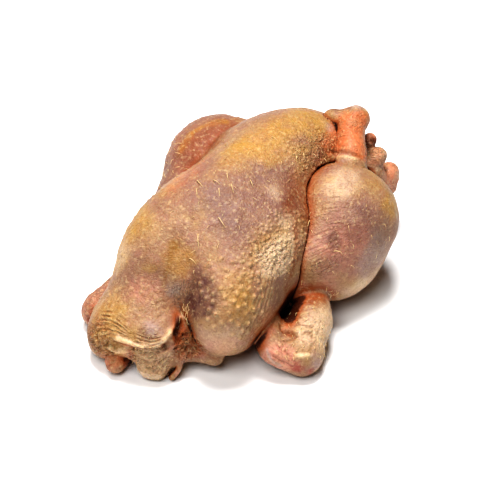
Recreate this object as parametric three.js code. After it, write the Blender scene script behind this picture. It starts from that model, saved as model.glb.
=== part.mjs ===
// Whole raw chicken: plucked, drawn, head and feet off, lying on its back on a flat surface.
//
// Frame, in millimetres: +Z up through the breastbone, +Y from the neck end to the tail end,
// +X towards the side whose wing stands away from the body. Z = 0 is the surface it lies on.
//
// The body is one closed skin round a set of rounded masses: muscles, joints and folds, each an
// ellipsoid or a tapered limb with its own size. Masses of one region melt into each other over
// a wide blend; regions meet in narrow creases. The skin is the surface where the blended
// distance to the masses is zero, worked out cell by cell and drawn back onto the true surface.

import * as THREE from 'three';
import { SimplifyModifier } from 'three/addons/modifiers/SimplifyModifier.js';

// ---------------------------------------------------------------------------------------------
// Driving dimensions, mm
// ---------------------------------------------------------------------------------------------

const SKIN_CELL = 2.6; // side of the cells the skin is worked out in
const SKIN_TRIANGLES = 11800; // faces kept once the smooth stretches are thinned
const LIMB_STEPS = 5; // straight lengths between two stations of a limb
const CREASE = 2.5; // how softly two regions of skin meet in a crease
const CLEFT_RIM = 1; // how softly the near leg meets the body in its cleft
const CLEFT_WIDTH = 2; // gap between the near leg and the body where the cleft opens
const CLEFT_DEPTH = 9; // how far down the cleft runs before it has closed
const NECK_BLEND_FAR = 20; // the neck skin runs smoothly into the breast on the far side
const NECK_BLEND_NEAR = 2.7; // and tucks under the breast in a crease on the near side
const NECK_BLEND_FROM = -14.5; // X where the smooth run starts to close up
const NECK_BLEND_TO = 5.5; // X where it has become a crease

// Field of the space the skin can lie in.
const REACH_LOW = new THREE.Vector3(-104, -136, -6);
const REACH_HIGH = new THREE.Vector3(104, 136, 116);

// ---------------------------------------------------------------------------------------------
// Masses
// ---------------------------------------------------------------------------------------------

/** Rounded mass: centre, half axes and turn (degrees about X, Y and Z, in that order). */
function egg(name, blend, at, radii, turn = [0, 0, 0]) {
  const angles = new THREE.Euler(...turn.map(THREE.MathUtils.degToRad), 'ZYX');
  const unturn = new THREE.Matrix4().makeRotationFromEuler(angles).invert();
  return { name, blend, centre: new THREE.Vector3(...at), radii, unturn, kind: 'egg' };
}

/** Tapered limb along a smooth curve through stations, with a radius at each station. */
function limb(name, blend, through, radii) {
  const curve = new THREE.CatmullRomCurve3(
    through.map((station) => new THREE.Vector3(...station)),
    false,
    'catmullrom',
    0.5,
  );
  const lengths = LIMB_STEPS * (through.length - 1);
  const stops = [];
  for (let step = 0; step <= lengths; step += 1) {
    const along = step / lengths;
    const place = along * (radii.length - 1);
    const before = Math.min(Math.floor(place), radii.length - 2);
    const radius = THREE.MathUtils.lerp(radii[before], radii[before + 1], place - before);
    stops.push({ point: curve.getPoint(along), radius });
  }
  return { name, blend, stops, kind: 'limb' };
}

/** The same mass, taken away instead of added. */
function hollow(mass) {
  return { ...mass, hollow: true };
}

const TRUNK = [
  egg('rib cage', 0, [-9, 12, 46], [48.5, 93.5, 48.5], [0, 0, -8]),
  egg('near breast', 25, [14.5, -22, 46], [38, 58, 43], [0, 0, -3]),
  egg('near breast front', 14.5, [28, -62, 40.5], [24.5, 34, 32.5]),
  egg('far breast', 18, [-30.5, -35, 47.5], [32.5, 54, 42.5], [4, 0, -6]),
  egg('rear breast', 23.5, [-13.5, 50, 57.5], [40, 47, 40.5], [0, 0, -6]),
  limb('keel', 29,
    [[-16, -49, 57.5], [-14.5, -26, 77.5], [-11, 10, 85.2], [-3.5, 55, 80], [0, 78.5, 70.5]],
    [12.5, 12.5, 11, 11.5, 13.5]),
  egg('belly', 18, [2, 77, 52], [34, 38, 38]),
  hollow(limb('wishbone notch', 12.5,
    [[-12, -74, 86], [-4, -82.5, 77], [0.5, -89, 66], [6.5, -95, 55]],
    [5.5, 7.5, 8, 7])),
];

const NECK = [
  egg('neck skin', 0, [-21.5, -87, 21.5], [38, 33.5, 24.5], [-14, 0, 8]),
  egg('neck side lobe', 11, [-40.5, -104, 15.5], [14.5, 17, 14.5]),
  limb('neck flap', 9, [[-12.5, -92.5, 21.5], [-5.5, -103, 15], [-4, -108.5, 7.5]],
    [17, 13.5, 7]),
  limb('flap rim', 5, [[-12, -112, 9], [-5, -110.5, 6.5], [0.5, -109.5, 5.5]], [6, 6, 4.6]),
  limb('crossing fold', 8, [[-9, -85, 20], [11, -87, 17], [28, -84, 13]], [13.5, 9, 6]),
  hollow(limb('pocket', 5, [[7, -87, 46], [13.5, -97, 33], [22, -103, 18]], [3.5, 6, 7])),
  hollow(egg('throat', 5.5, [-19, -124, 5], [8, 19, 10])),
  limb('neck stump', 2, [[-29, -92.5, 14.5], [-27.5, -111, 10], [-27, -119, 8.5]], [9, 7.5, 6.8]),
  hollow(limb('undercut', 2.5,
    [[-31, -122, 25], [-20, -121.5, 27], [-12.5, -120, 26.5], [-1, -116, 26.5], [7, -106, 30]],
    [1.5, 2.6, 2.6, 2.6, 2.2])),
  limb('neck skin lip', 3,
    [[-26, -118, 30.5], [-12.5, -117.5, 30.5], [-2, -113.5, 31], [5, -102, 36.5]],
    [1.9, 2.1, 2, 1.7]),
  limb('tendril', 2, [[11, -99, 14], [11.5, -102.5, 9], [8.5, -106, 3]], [2.2, 2, 2.4]),
];

const NEAR_LEG = [
  egg('calf', 0, [48, 44.5, 52.5], [40.5, 39, 34.5]),
  egg('thigh', 14.5, [58, 29, 30], [25.5, 34, 25.5]),
  egg('shin muscle', 16, [50, 11, 40.5], [21.5, 29, 22.5], [-20, 0, 0]),
  egg('knee', 12.5, [50, -11, 28.5], [9, 12, 9]),
];

const NEAR_SHANK = [
  limb('shank', 0, [[45, 59, 65], [39.5, 71.5, 75.5], [30.5, 86, 83], [23.5, 98.5, 89]],
    [13.5, 11.3, 10.2, 10.4]),
  egg('outer condyle', 4.5, [26.3, 103, 91], [9, 8, 8]),
  egg('inner condyle', 3.5, [12, 95, 90.3], [7.5, 6.5, 6]),
  hollow(egg('hock cleft', 3.5, [19.5, 100, 100], [3.5, 9, 3.6], [0, 0, 20])),
];

const FAR_LEG = [
  egg('far calf', 0, [-60, 52, 49.5], [32.2, 40, 33.6]),
  egg('far thigh', 14.5, [-60.5, 33.5, 30.5], [24.5, 34, 25]),
  egg('far knee', 16, [-57.5, 6.5, 36], [20, 25, 20]),
  limb('far shank', 12.5, [[-43, 69.5, 56], [-3.5, 98.5, 62], [29, 105, 62]], [18, 11.5, 8]),
  egg('far outer condyle', 3.5, [42, 105, 62], [7, 7, 6.3]),
  egg('far inner condyle', 3, [34, 108.5, 70.5], [4.8, 5.2, 5.2]),
];

const NEAR_WING = [
  limb('upper arm', 0, [[46, -48, 25], [59.5, -62.5, 19], [75.5, -54.5, 12]], [9, 9.5, 10.5]),
  egg('elbow', 7, [77.5, -51, 12], [11, 11.5, 10.5]),
  limb('forearm', 7, [[75.5, -49, 13.5], [67.5, -27.5, 20], [56.5, -2.5, 23.5], [50.5, 28, 20]],
    [11.5, 14.5, 9.5, 9]),
  egg('wing web', 8, [64, -44, 13], [14, 16, 12]),
  egg('floor of the gap', 6, [49, -30, 4], [16, 26, 8]),
];

const FAR_WING = [
  limb('far upper arm', 0, [[-38, -54.5, 30.5], [-51, -72, 18.5], [-63.5, -86, 12]],
    [14.5, 13, 11]),
  limb('far forearm', 7, [[-63.5, -86, 11.5], [-62, -54.5, 14.5], [-65, -8, 20]],
    [10.5, 11.5, 9]),
];

const TAIL = [
  limb('rump', 0, [[5.5, 89.5, 41.5], [18, 107.5, 32.5], [30.5, 114.5, 30.5]],
    [23.5, 18, 12.5]),
  egg('tail lobe', 5.5, [45.5, 113, 33], [9.5, 10, 11.5], [0, 20, 0]),
  egg('tail crown', 5, [47.5, 113, 43.5], [8, 10, 8]),
  limb('tail tongue', 2.5, [[38, 98, 56.5], [43, 99.5, 50], [47, 102.5, 42]], [6.5, 8, 7]),
  egg('tail tip', 3.5, [34, 122, 38], [7, 7, 8]),
];

/** Regions of the bird in the order they are joined. */
const REGIONS = [
  { masses: TRUNK, blend: () => 0 },
  { masses: NECK, blend: neckBlend },
  { masses: NEAR_LEG, blend: () => CLEFT_RIM, cleft: CLEFT_WIDTH },
  { masses: NEAR_SHANK, blend: () => CREASE },
  { masses: FAR_LEG, blend: () => CREASE },
  { masses: NEAR_WING, blend: () => CREASE },
  { masses: FAR_WING, blend: () => CREASE + 1 },
  { masses: TAIL, blend: () => 2 * CREASE },
];

// ---------------------------------------------------------------------------------------------
// Distance to the skin: below zero inside, above zero outside
// ---------------------------------------------------------------------------------------------

/** How softly the neck skin meets the trunk, by the side of the bird. */
function neckBlend(point) {
  const share = THREE.MathUtils.smoothstep(point.x, NECK_BLEND_FROM, NECK_BLEND_TO);
  return THREE.MathUtils.lerp(NECK_BLEND_FAR, NECK_BLEND_NEAR, share);
}

/** Joins two distances, rounding the valley between them over a width. */
function join(first, second, width) {
  const near = Math.max(width - Math.abs(first - second), 0) / Math.max(width, 1e-6);
  return Math.min(first, second) - near * near * width * 0.25;
}

/** Takes the second shape out of the first, rounding the rim over a width. */
function takeAway(first, second, width) {
  return -join(-first, second, width);
}

const local = new THREE.Vector3();

/** Distance from a point to an ellipsoid, near enough for blending. */
function eggDistance(mass, point) {
  local.copy(point).sub(mass.centre).applyMatrix4(mass.unturn);
  const [a, b, c] = mass.radii;
  const scaled = Math.hypot(local.x / a, local.y / b, local.z / c);
  const slope = Math.hypot(local.x / (a * a), local.y / (b * b), local.z / (c * c));
  return (scaled * (scaled - 1)) / Math.max(slope, 1e-6);
}

const span = new THREE.Vector3();
const away = new THREE.Vector3();

/** Distance from a point to the nearest straight length of a limb. */
function limbDistance(mass, point) {
  let nearest = Infinity;
  for (let index = 1; index < mass.stops.length; index += 1) {
    const from = mass.stops[index - 1];
    const to = mass.stops[index];
    span.subVectors(to.point, from.point);
    away.subVectors(point, from.point);
    const along = THREE.MathUtils.clamp(away.dot(span) / span.lengthSq(), 0, 1);
    const radius = THREE.MathUtils.lerp(from.radius, to.radius, along);
    nearest = Math.min(nearest, away.addScaledVector(span, -along).length() - radius);
  }
  return nearest;
}

/** Distance from a point to one mass. */
function massDistance(mass, point) {
  return mass.kind === 'egg' ? eggDistance(mass, point) : limbDistance(mass, point);
}

/** Distance from a point to one region of the bird. */
function regionDistance(masses, point) {
  let distance = massDistance(masses[0], point);
  for (const mass of masses.slice(1)) {
    const next = massDistance(mass, point);
    distance = mass.hollow
      ? takeAway(distance, next, mass.blend)
      : join(distance, next, mass.blend);
  }
  return distance;
}

/** Lets the body fall back from a region in a cleft that closes further down. */
function partFrom(body, region, width) {
  const open = width * THREE.MathUtils.smoothstep(body, -CLEFT_DEPTH, 0);
  return takeAway(body, region - open, width);
}

/** Distance from a point to the skin; what would sink below the surface is pressed flat. */
function skinDistance(point) {
  let distance = regionDistance(REGIONS[0].masses, point);
  for (const region of REGIONS.slice(1)) {
    const own = regionDistance(region.masses, point);
    if (region.cleft) distance = partFrom(distance, own, region.cleft);
    distance = join(distance, own, region.blend(point));
  }
  return Math.max(distance, -point.z);
}

// ---------------------------------------------------------------------------------------------
// From distances to a closed skin
// ---------------------------------------------------------------------------------------------

/** Corner offsets of a cell; corner number = x + 2 y + 4 z. */
const CORNERS = Array.from({ length: 8 }, (_, corner) => [
  corner & 1,
  (corner >> 1) & 1,
  (corner >> 2) & 1,
]);

/** The twelve edges of a cell as { axis, from, to } with from the lower corner. */
const EDGES = [0, 1, 2].flatMap((axis) =>
  CORNERS.map((_, corner) => corner)
    .filter((corner) => !((corner >> axis) & 1))
    .map((corner) => ({ axis, from: corner, to: corner | (1 << axis) })),
);

/** Number of the cell edge that runs between two corners. */
function edgeBetween(first, second) {
  const low = Math.min(first, second);
  const high = Math.max(first, second);
  return EDGES.findIndex((edge) => edge.from === low && edge.to === high);
}

/** The six faces of a cell as rings of four corners. */
const FACES = [0, 1, 2].flatMap((axis) => {
  const u = 1 << ((axis + 1) % 3);
  const v = 1 << ((axis + 2) % 3);
  return [0, 1 << axis].map((base) => [base, base | u, base | u | v, base | v]);
});

/**
 * Sheets of skin that cross a cell, for one pattern of inside corners: for every edge the
 * number of its sheet, or -1 where the edge isn't crossed. On a face with two opposite inside
 * corners each of them is cut off by itself, so neighbouring cells always agree.
 */
function sheetsOf(pattern) {
  const inside = (corner) => (pattern >> corner) & 1;
  const sheet = EDGES.map((edge, index) => (inside(edge.from) !== inside(edge.to) ? index : -1));
  const merge = (first, second) => {
    const [keep, drop] = [sheet[first], sheet[second]];
    sheet.forEach((value, index) => {
      if (value === drop) sheet[index] = keep;
    });
  };
  for (const ring of FACES) {
    const crossed = ring
      .map((corner, index) => edgeBetween(corner, ring[(index + 1) % 4]))
      .filter((edge) => sheet[edge] >= 0);
    if (crossed.length === 2) merge(crossed[0], crossed[1]);
    if (crossed.length === 4) {
      ring.forEach((corner, index) => {
        if (!inside(corner)) return;
        const before = edgeBetween(ring[(index + 3) % 4], corner);
        const after = edgeBetween(corner, ring[(index + 1) % 4]);
        merge(before, after);
      });
    }
  }
  const names = [...new Set(sheet.filter((value) => value >= 0))];
  return sheet.map((value) => names.indexOf(value));
}

const SHEETS = Array.from({ length: 256 }, (_, pattern) => sheetsOf(pattern));

/** Distances at the corners of a regular grid over the reach of the bird. */
function measureGrid() {
  const size = new THREE.Vector3().subVectors(REACH_HIGH, REACH_LOW).divideScalar(SKIN_CELL);
  const counts = size.toArray().map((value) => Math.ceil(value) + 1);
  const stride = [1, counts[0], counts[0] * counts[1]];
  const values = new Float64Array(counts[0] * counts[1] * counts[2]);
  const point = new THREE.Vector3();
  for (let k = 0; k < counts[2]; k += 1) {
    for (let j = 0; j < counts[1]; j += 1) {
      for (let i = 0; i < counts[0]; i += 1) {
        point.set(i, j, k).multiplyScalar(SKIN_CELL).add(REACH_LOW);
        values[i + j * stride[1] + k * stride[2]] = skinDistance(point);
      }
    }
  }
  return { counts, stride, values };
}

/** One skin point per sheet in every crossed cell: the middle of the sheet's crossings. */
function placePoints({ counts, stride, values }) {
  const points = [];
  const cells = new Map();
  const offset = CORNERS.map((corner) => corner.reduce((sum, c, a) => sum + c * stride[a], 0));
  for (let k = 0; k + 1 < counts[2]; k += 1) {
    for (let j = 0; j + 1 < counts[1]; j += 1) {
      for (let i = 0; i + 1 < counts[0]; i += 1) {
        const base = i + j * stride[1] + k * stride[2];
        const at = offset.map((step) => values[base + step]);
        const pattern = at.reduce((bits, value, corner) => bits | ((value < 0) << corner), 0);
        if (pattern === 0 || pattern === 255) continue;
        const sheets = SHEETS[pattern];
        const sums = [];
        EDGES.forEach(({ axis, from, to }, edge) => {
          const sheet = sheets[edge];
          if (sheet < 0) return;
          sums[sheet] ??= { total: new THREE.Vector3(), count: 0 };
          const crossing = new THREE.Vector3(...CORNERS[from]);
          const share = at[from] / (at[from] - at[to]);
          crossing.setComponent(axis, crossing.getComponent(axis) + share);
          sums[sheet].total.add(crossing);
          sums[sheet].count += 1;
        });
        const first = points.length;
        for (const { total, count } of sums) {
          const cell = new THREE.Vector3(i, j, k);
          points.push(total.divideScalar(count).add(cell).multiplyScalar(SKIN_CELL).add(REACH_LOW));
        }
        cells.set(base, { first, sheets });
      }
    }
  }
  return { points, cells };
}

/** Two triangles across every crossed grid edge, joining the four cells round it. */
function layFaces({ counts, stride, values }, { cells }) {
  const faces = [];
  for (let axis = 0; axis < 3; axis += 1) {
    const u = (axis + 1) % 3;
    const v = (axis + 2) % 3;
    const place = [0, 0, 0];
    for (place[axis] = 0; place[axis] + 1 < counts[axis]; place[axis] += 1) {
      for (place[u] = 1; place[u] + 1 < counts[u]; place[u] += 1) {
        for (place[v] = 1; place[v] + 1 < counts[v]; place[v] += 1) {
          const base = place.reduce((sum, value, a) => sum + value * stride[a], 0);
          const inside = values[base] < 0;
          if (inside === values[base + stride[axis]] < 0) continue;
          const ring = [[1, 1], [0, 1], [0, 0], [1, 0]].map(([du, dv]) => {
            const cell = cells.get(base - du * stride[u] - dv * stride[v]);
            const corner = (du << u) | (dv << v);
            return cell.first + cell.sheets[edgeBetween(corner, corner | (1 << axis))];
          });
          if (!inside) ring.reverse();
          faces.push(ring[0], ring[1], ring[2], ring[0], ring[2], ring[3]);
        }
      }
    }
  }
  return faces;
}

/** Draws a point along the slope of the distance until it lies on the true skin. */
function settle(point) {
  const probe = new THREE.Vector3();
  const slope = new THREE.Vector3();
  for (let round = 0; round < 3; round += 1) {
    for (let axis = 0; axis < 3; axis += 1) {
      probe.copy(point).setComponent(axis, point.getComponent(axis) + 0.2);
      const ahead = skinDistance(probe);
      probe.setComponent(axis, point.getComponent(axis) - 0.2);
      slope.setComponent(axis, (ahead - skinDistance(probe)) / 0.4);
    }
    const steepness = Math.max(slope.lengthSq(), 0.25);
    const move = THREE.MathUtils.clamp(skinDistance(point) / steepness, -1, 1);
    point.addScaledVector(slope, -move);
  }
  point.z = Math.max(point.z, 0);
}

/** The whole skin as one closed surface, its smooth stretches thinned to larger faces. */
async function buildSkin() {
  const grid = measureGrid();
  const net = placePoints(grid);
  const faces = layFaces(grid, net);
  net.points.forEach(settle);
  const geometry = new THREE.BufferGeometry().setFromPoints(net.points);
  geometry.setIndex(faces);
  const surplus = net.points.length * (1 - SKIN_TRIANGLES / (faces.length / 3));
  const thinned = await new SimplifyModifier().modify(geometry, surplus);
  thinned.computeVertexNormals();
  return thinned;
}

// ---------------------------------------------------------------------------------------------
// Part
// ---------------------------------------------------------------------------------------------

const skinMaterial = new THREE.MeshStandardMaterial({
  name: 'raw chicken skin',
  color: 0xcf9f7c,
  roughness: 0.42,
  metalness: 0,
});

const chicken = new THREE.Mesh(await buildSkin(), skinMaterial);
chicken.name = 'chicken';

const part = new THREE.Group();
part.name = 'whole raw chicken';
part.add(chicken);

export default part;
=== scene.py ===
"""Whole raw chicken, plucked and drawn, head and feet off, lying on its back on a pale surface.

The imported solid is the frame. The skin is built again here over the same rounded masses, fine
enough for feather follicles, folds and wrinkles, and takes the solid's place. Sizes in the
classes are millimetres in the frame of the solid: +Z up through the breastbone, +Y from the neck
to the tail, +X towards the side whose wing stands away. Meshes are made in metres.
"""

import logging
import math
from concurrent.futures import ThreadPoolExecutor
from dataclasses import dataclass, fields
from enum import Enum
from functools import cached_property

import bpy
import numpy as np
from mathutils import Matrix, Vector
from mathutils.kdtree import KDTree


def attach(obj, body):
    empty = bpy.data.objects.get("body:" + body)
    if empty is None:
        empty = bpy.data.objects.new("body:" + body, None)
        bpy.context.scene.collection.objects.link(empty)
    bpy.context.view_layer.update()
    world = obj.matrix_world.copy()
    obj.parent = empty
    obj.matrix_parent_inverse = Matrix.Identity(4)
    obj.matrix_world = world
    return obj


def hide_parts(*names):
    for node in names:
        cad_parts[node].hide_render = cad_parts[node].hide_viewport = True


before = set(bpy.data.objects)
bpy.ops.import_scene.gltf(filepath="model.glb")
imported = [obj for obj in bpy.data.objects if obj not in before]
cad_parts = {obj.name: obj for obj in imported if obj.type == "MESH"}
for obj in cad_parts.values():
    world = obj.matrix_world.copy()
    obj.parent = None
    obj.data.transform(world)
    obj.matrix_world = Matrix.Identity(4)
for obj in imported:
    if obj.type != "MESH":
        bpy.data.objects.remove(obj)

LOG = logging.getLogger("chicken")
MM = 0.001
FAR_AWAY = 32.0  # stands for any distance at which masses no longer blend, mm
CELL = 0.8  # side of the cells that the skin is worked out in, mm
SPACE = ((-104, -136, -6), (104, 136, 116))  # two corners that the whole skin lies between, mm
MOST_TRIANGLES = 196_000
TINY = 1e-6  # least length that anything is divided by, mm
TINY_SQUARE = 1e-9  # least squared length that anything is divided by, mm2
Point = tuple[float, float, float]
Array = np.ndarray


# --------------------------------------------------------------------------------------------
# Small tools
# --------------------------------------------------------------------------------------------


def linear(hex_colour: str) -> tuple[float, float, float, float]:
    """Turns an sRGB hex colour into linear red, green, blue and an alpha of one.

    Args:
        hex_colour: six hex digits after a hash, such as "#C99A78".

    Returns:
        The four channel values that a shader socket takes.
    """
    channels = [int(hex_colour[i : i + 2], 16) / 255 for i in (1, 3, 5)]
    low = [c / 12.92 if c <= 0.04045 else ((c + 0.055) / 1.055) ** 2.4 for c in channels]
    return (low[0], low[1], low[2], 1.0)


def smoothstep(low: float, high: float, value: Array) -> Array:
    """Smooth rise from zero at low to one at high."""
    share = np.clip((value - low) / (high - low), 0.0, 1.0)
    return share * share * (3.0 - 2.0 * share)


def join(first: Array, second: Array, width: Array | float) -> Array:
    """Joins two distances and rounds the valley between them over a width.

    Args:
        first: distances to one shape.
        second: distances to the other shape.
        width: how wide the rounding is, one value or one for each point.

    Returns:
        Distances to the joined shape.
    """
    near = np.maximum(width - np.abs(first - second), 0.0) / np.maximum(width, TINY)
    return np.minimum(first, second) - near * near * width * 0.25


def turned(degrees: Point) -> Array:
    """Rotation matrix for turns about X, then Y, then Z.

    Args:
        degrees: the turn about each axis.

    Returns:
        Three rows of three values.
    """
    (cx, cy, cz), (sx, sy, sz) = np.cos(np.radians(degrees)), np.sin(np.radians(degrees))
    about_x = np.array([[1, 0, 0], [0, cx, -sx], [0, sx, cx]])
    about_y = np.array([[cy, 0, sy], [0, 1, 0], [-sy, 0, cy]])
    about_z = np.array([[cz, -sz, 0], [sz, cz, 0], [0, 0, 1]])
    return about_z @ about_y @ about_x


def fading(along: Array, ends: float) -> Array:
    """One along a curve, falling to zero over a share of it at both ends."""
    return smoothstep(0, ends, along) * (1 - smoothstep(1 - ends, 1, along))


def bell(gap: Array, width: float) -> Array:
    """Bell curve: one where the gap is zero, about a third where it is as large as the width.

    It is worked out in place, as numpy else takes its last digit from where the arrays lie in
    memory, which isn't the same on every run.

    Args:
        gap: distances from the middle of the curve.
        width: how wide the curve is, in the same unit.

    Returns:
        One value for each distance.
    """
    height = -((gap / width) ** 2)
    return np.exp(height, out=height)


def raise_to(mask: Array, near: Array, cover: Array) -> None:
    """Raises a mask to a cover at some points, where it isn't that high already."""
    mask[near] = np.maximum(mask[near], cover)


def curve_through(stations: Array, steps: int) -> Array:
    """Smooth curve through stations, as points.

    Args:
        stations: one row for each station, with any number of columns.
        steps: straight lengths between two stations.

    Returns:
        Rows along the curve, the first and last station among them.
    """
    before = 2 * stations[0] - stations[1]
    after = 2 * stations[-1] - stations[-2]
    padded = np.vstack([before, stations, after])
    rows = []
    for a, b, c, d in zip(padded, padded[1:], padded[2:], padded[3:]):
        for t in np.arange(steps) / steps:
            bend = (2 * a - 5 * b + 4 * c - d) * t * t + (3 * b - a - 3 * c + d) * t**3
            rows.append(0.5 * (2 * b + (c - a) * t + bend))
    return np.vstack([rows, stations[-1]])


def nearest_on(line: Array, points: Array) -> tuple[Array, Array]:
    """Finds how near points lie to a line of straight lengths, and where along it.

    Args:
        line: rows of points along the line, mm.
        points: one row for each point, mm.

    Returns:
        The distance of each point, and its place along the line from zero to one.
    """
    gap = np.full(len(points), np.inf)
    along = np.zeros(len(points))
    for step, (start, end) in enumerate(zip(line, line[1:])):
        span = end - start
        share = np.clip((points - start) @ span / max(span @ span, TINY_SQUARE), 0, 1)
        away = np.linalg.norm(points - start - share[:, None] * span, axis=1)
        closer = away < gap
        gap[closer] = away[closer]
        along[closer] = (step + share[closer]) / (len(line) - 1)
    return gap, along


class Grain:
    """Smooth random field over space, the same on every run."""

    SIDE = 32

    def __init__(self, seed: int) -> None:
        """Draws the field's values.

        Args:
            seed: number that the draw starts from.
        """
        draw = np.random.default_rng(seed)
        self.values = draw.uniform(-1, 1, (self.SIDE,) * 3).astype(np.float32)

    def at(self, points: Array, size: float | Point, shift: float = 0.0) -> Array:
        """Value of the field at points.

        Args:
            points: one row for each point, mm.
            size: distance between two drawn values, mm, one number or one for each axis.
            shift: how far away the value is read, mm, so that two uses don't look alike.

        Returns:
            One value for each point, from -1 to 1.
        """
        place = (points + shift).astype(np.float32) / np.array(size, np.float32)
        floor = np.floor(place)
        share = place - floor
        share = share * share * (3 - 2 * share)
        low = floor.astype(np.int64) % self.SIDE
        high = (low + 1) % self.SIDE
        values = self.values.ravel()
        total = np.zeros(len(points), np.float32)
        for x, part_x in ((low[:, 0], 1 - share[:, 0]), (high[:, 0], share[:, 0])):
            for y, part_y in ((low[:, 1], 1 - share[:, 1]), (high[:, 1], share[:, 1])):
                row, part = (x * self.SIDE + y) * self.SIDE, part_x * part_y
                below, above = values[row + low[:, 2]], values[row + high[:, 2]]
                total += part * (below + (above - below) * share[:, 2])
        return total


# --------------------------------------------------------------------------------------------
# Masses of flesh and bone under the skin
# --------------------------------------------------------------------------------------------


@dataclass(frozen=True)
class Egg:
    """Rounded mass: an ellipsoid with half axes, turned about X, Y and Z in that order."""

    blend: float
    at: Point
    radii: Point
    turn: Point = (0.0, 0.0, 0.0)
    hollow: bool = False

    def distance(self, points: Array) -> Array:
        """Distance from points to the mass, near enough for blending.

        Args:
            points: one row for each point, mm.

        Returns:
            One distance for each point, mm.
        """
        local = (points - np.array(self.at, np.float32)) @ turned(self.turn).astype(np.float32)
        local /= np.array(self.radii, np.float32)
        scaled = np.sqrt(np.einsum("ij,ij->i", local, local))
        local /= np.array(self.radii, np.float32)
        slope = np.sqrt(np.einsum("ij,ij->i", local, local))
        return scaled * (scaled - 1) / np.maximum(slope, TINY)

    def reach(self) -> tuple[Array, Array]:
        """Lowest and highest corner of a box round the mass."""
        middle, most = np.array(self.at), max(self.radii)
        return middle - most, middle + most


@dataclass(frozen=True)
class Limb:
    """Tapered mass along a smooth curve through stations, with a radius at each."""

    blend: float
    through: tuple[Point, ...]
    radii: tuple[float, ...]
    hollow: bool = False

    STEPS = 5

    @cached_property
    def stops(self) -> Array:
        """The limb as straight lengths.

        Returns:
            Rows of X, Y, Z and radius along it.
        """
        line = curve_through(np.array(self.through, float), self.STEPS)
        place = np.linspace(0, len(self.radii) - 1, len(line))
        radius = np.interp(place, range(len(self.radii)), self.radii)
        return np.column_stack([line, radius]).astype(np.float32)

    def distance(self, points: Array) -> Array:
        """Distance from points to the nearest straight length of the limb.

        Args:
            points: one row for each point, mm.

        Returns:
            One distance for each point, mm.
        """
        nearest = np.full(len(points), np.inf, np.float32)
        for start, end in zip(self.stops, self.stops[1:]):
            span = end[:3] - start[:3]
            away = points - start[:3]
            along = np.clip(away @ span / (span @ span), 0, 1)
            away -= along[:, None] * span
            radius = start[3] + along * (end[3] - start[3])
            gap = np.sqrt(np.einsum("ij,ij->i", away, away)) - radius
            nearest = np.minimum(nearest, gap)
        return nearest

    def reach(self) -> tuple[Array, Array]:
        """Lowest and highest corner of a box round the limb."""
        stops, most = self.stops[:, :3], max(self.radii)
        return stops.min(0) - most, stops.max(0) + most


class Tint(Enum):
    """What colours the skin at a place, each a mask on the mesh; the last two are painted shade."""

    FAT = "fat"
    FLESH = "flesh"
    BRUISE = "bruise"
    CHILL = "chill"
    STAIN = "stain"
    RAW = "raw"
    PINK = "pink"
    GRISTLE = "gristle"
    BLOOD = "blood"
    PALE = "pale"
    # Painted shade: dark orange-brown laid beside and under the legs, where little light reaches.
    TUCKED = "tucked"
    # Painted shade: near black laid in the pocket between the neck skin and the breast.
    MURKY = "murky"


# --------------------------------------------------------------------------------------------
# What shows on the skin
# --------------------------------------------------------------------------------------------


@dataclass(frozen=True)
class Feature:
    """Something that shows on the skin of a region."""

    def mark(self, skin: "Skin") -> None:
        """Adds the feature to the skin."""
        raise NotImplementedError


@dataclass(frozen=True)
class Patch(Feature):
    """Soft-edged patch of one tint: an ellipsoid that the skin passes through."""

    tint: Tint
    strength: float
    at: Point
    radii: Point
    turn: Point = (0.0, 0.0, 0.0)
    core: float = 0.3

    def mark(self, skin: "Skin") -> None:
        """Tints the skin inside the ellipsoid, fully in its core and less towards its edge."""
        near, cover = skin.inside(self)
        raise_to(skin.masks[self.tint], near, self.strength * cover)


@dataclass(frozen=True)
class NoPaintedShade(Feature):
    """Patch where the painted crease and valley shade is left off, so that the skin there stays
    pale.
    """

    strength: float
    at: Point
    radii: Point
    turn: Point = (0.0, 0.0, 0.0)
    core: float = 0.6

    def mark(self, skin: "Skin") -> None:
        """Leaves the painted crease and valley shade off the skin inside the ellipsoid."""
        near, cover = skin.inside(self)
        raise_to(skin.painted_shade_off, near, self.strength * cover)


@dataclass(frozen=True)
class Streak(Feature):
    """Soft-edged band of one tint along a curve on the skin."""

    tint: Tint
    strength: float
    width: float
    through: tuple[Point, ...]

    CORE = 0.2
    FRAY = 0.3
    REACH = 1.3

    def mark(self, skin: "Skin") -> None:
        """Tints the skin near the curve, with a frayed edge.

        Args:
            skin: the skin that gets the band.
        """
        line = skin.line(self.through)
        near = skin.near_to(line, self.REACH * self.width)
        gap, _ = nearest_on(line, skin.points[near])
        gap = gap + self.FRAY * self.width * skin.grain.at(skin.points[near], self.width)
        cover = self.strength * (1 - smoothstep(self.CORE, 1.0, gap / self.width))
        raise_to(skin.masks[self.tint], near, cover)


@dataclass(frozen=True)
class Fold(Feature):
    """Ridge along a curve on the skin, or a furrow where the height is negative."""

    height: float
    width: float
    through: tuple[Point, ...]
    wander: float = 0.6
    shade: float = 1.0

    WANDER_WAVE = 4.0
    ENDS = 0.12

    def mark(self, skin: "Skin") -> None:
        """Lifts the skin near the curve, less towards the curve's ends.

        Args:
            skin: the skin that gets the fold.
        """
        line = skin.line(self.through)
        near = skin.near_to(line, 3 * self.width + 1)
        gap, along = nearest_on(line, skin.points[near])
        gap = gap + self.wander * skin.grain.at(skin.points[near], self.WANDER_WAVE)
        profile = bell(gap, self.width) * fading(along, self.ENDS)
        skin.lift[near] += self.height * profile
        # The shade value also sets how much painted highlight a ridge gets and how much painted
        # shade a furrow gets.
        skin.ridge[near] += math.copysign(self.shade, self.height) * profile


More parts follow.
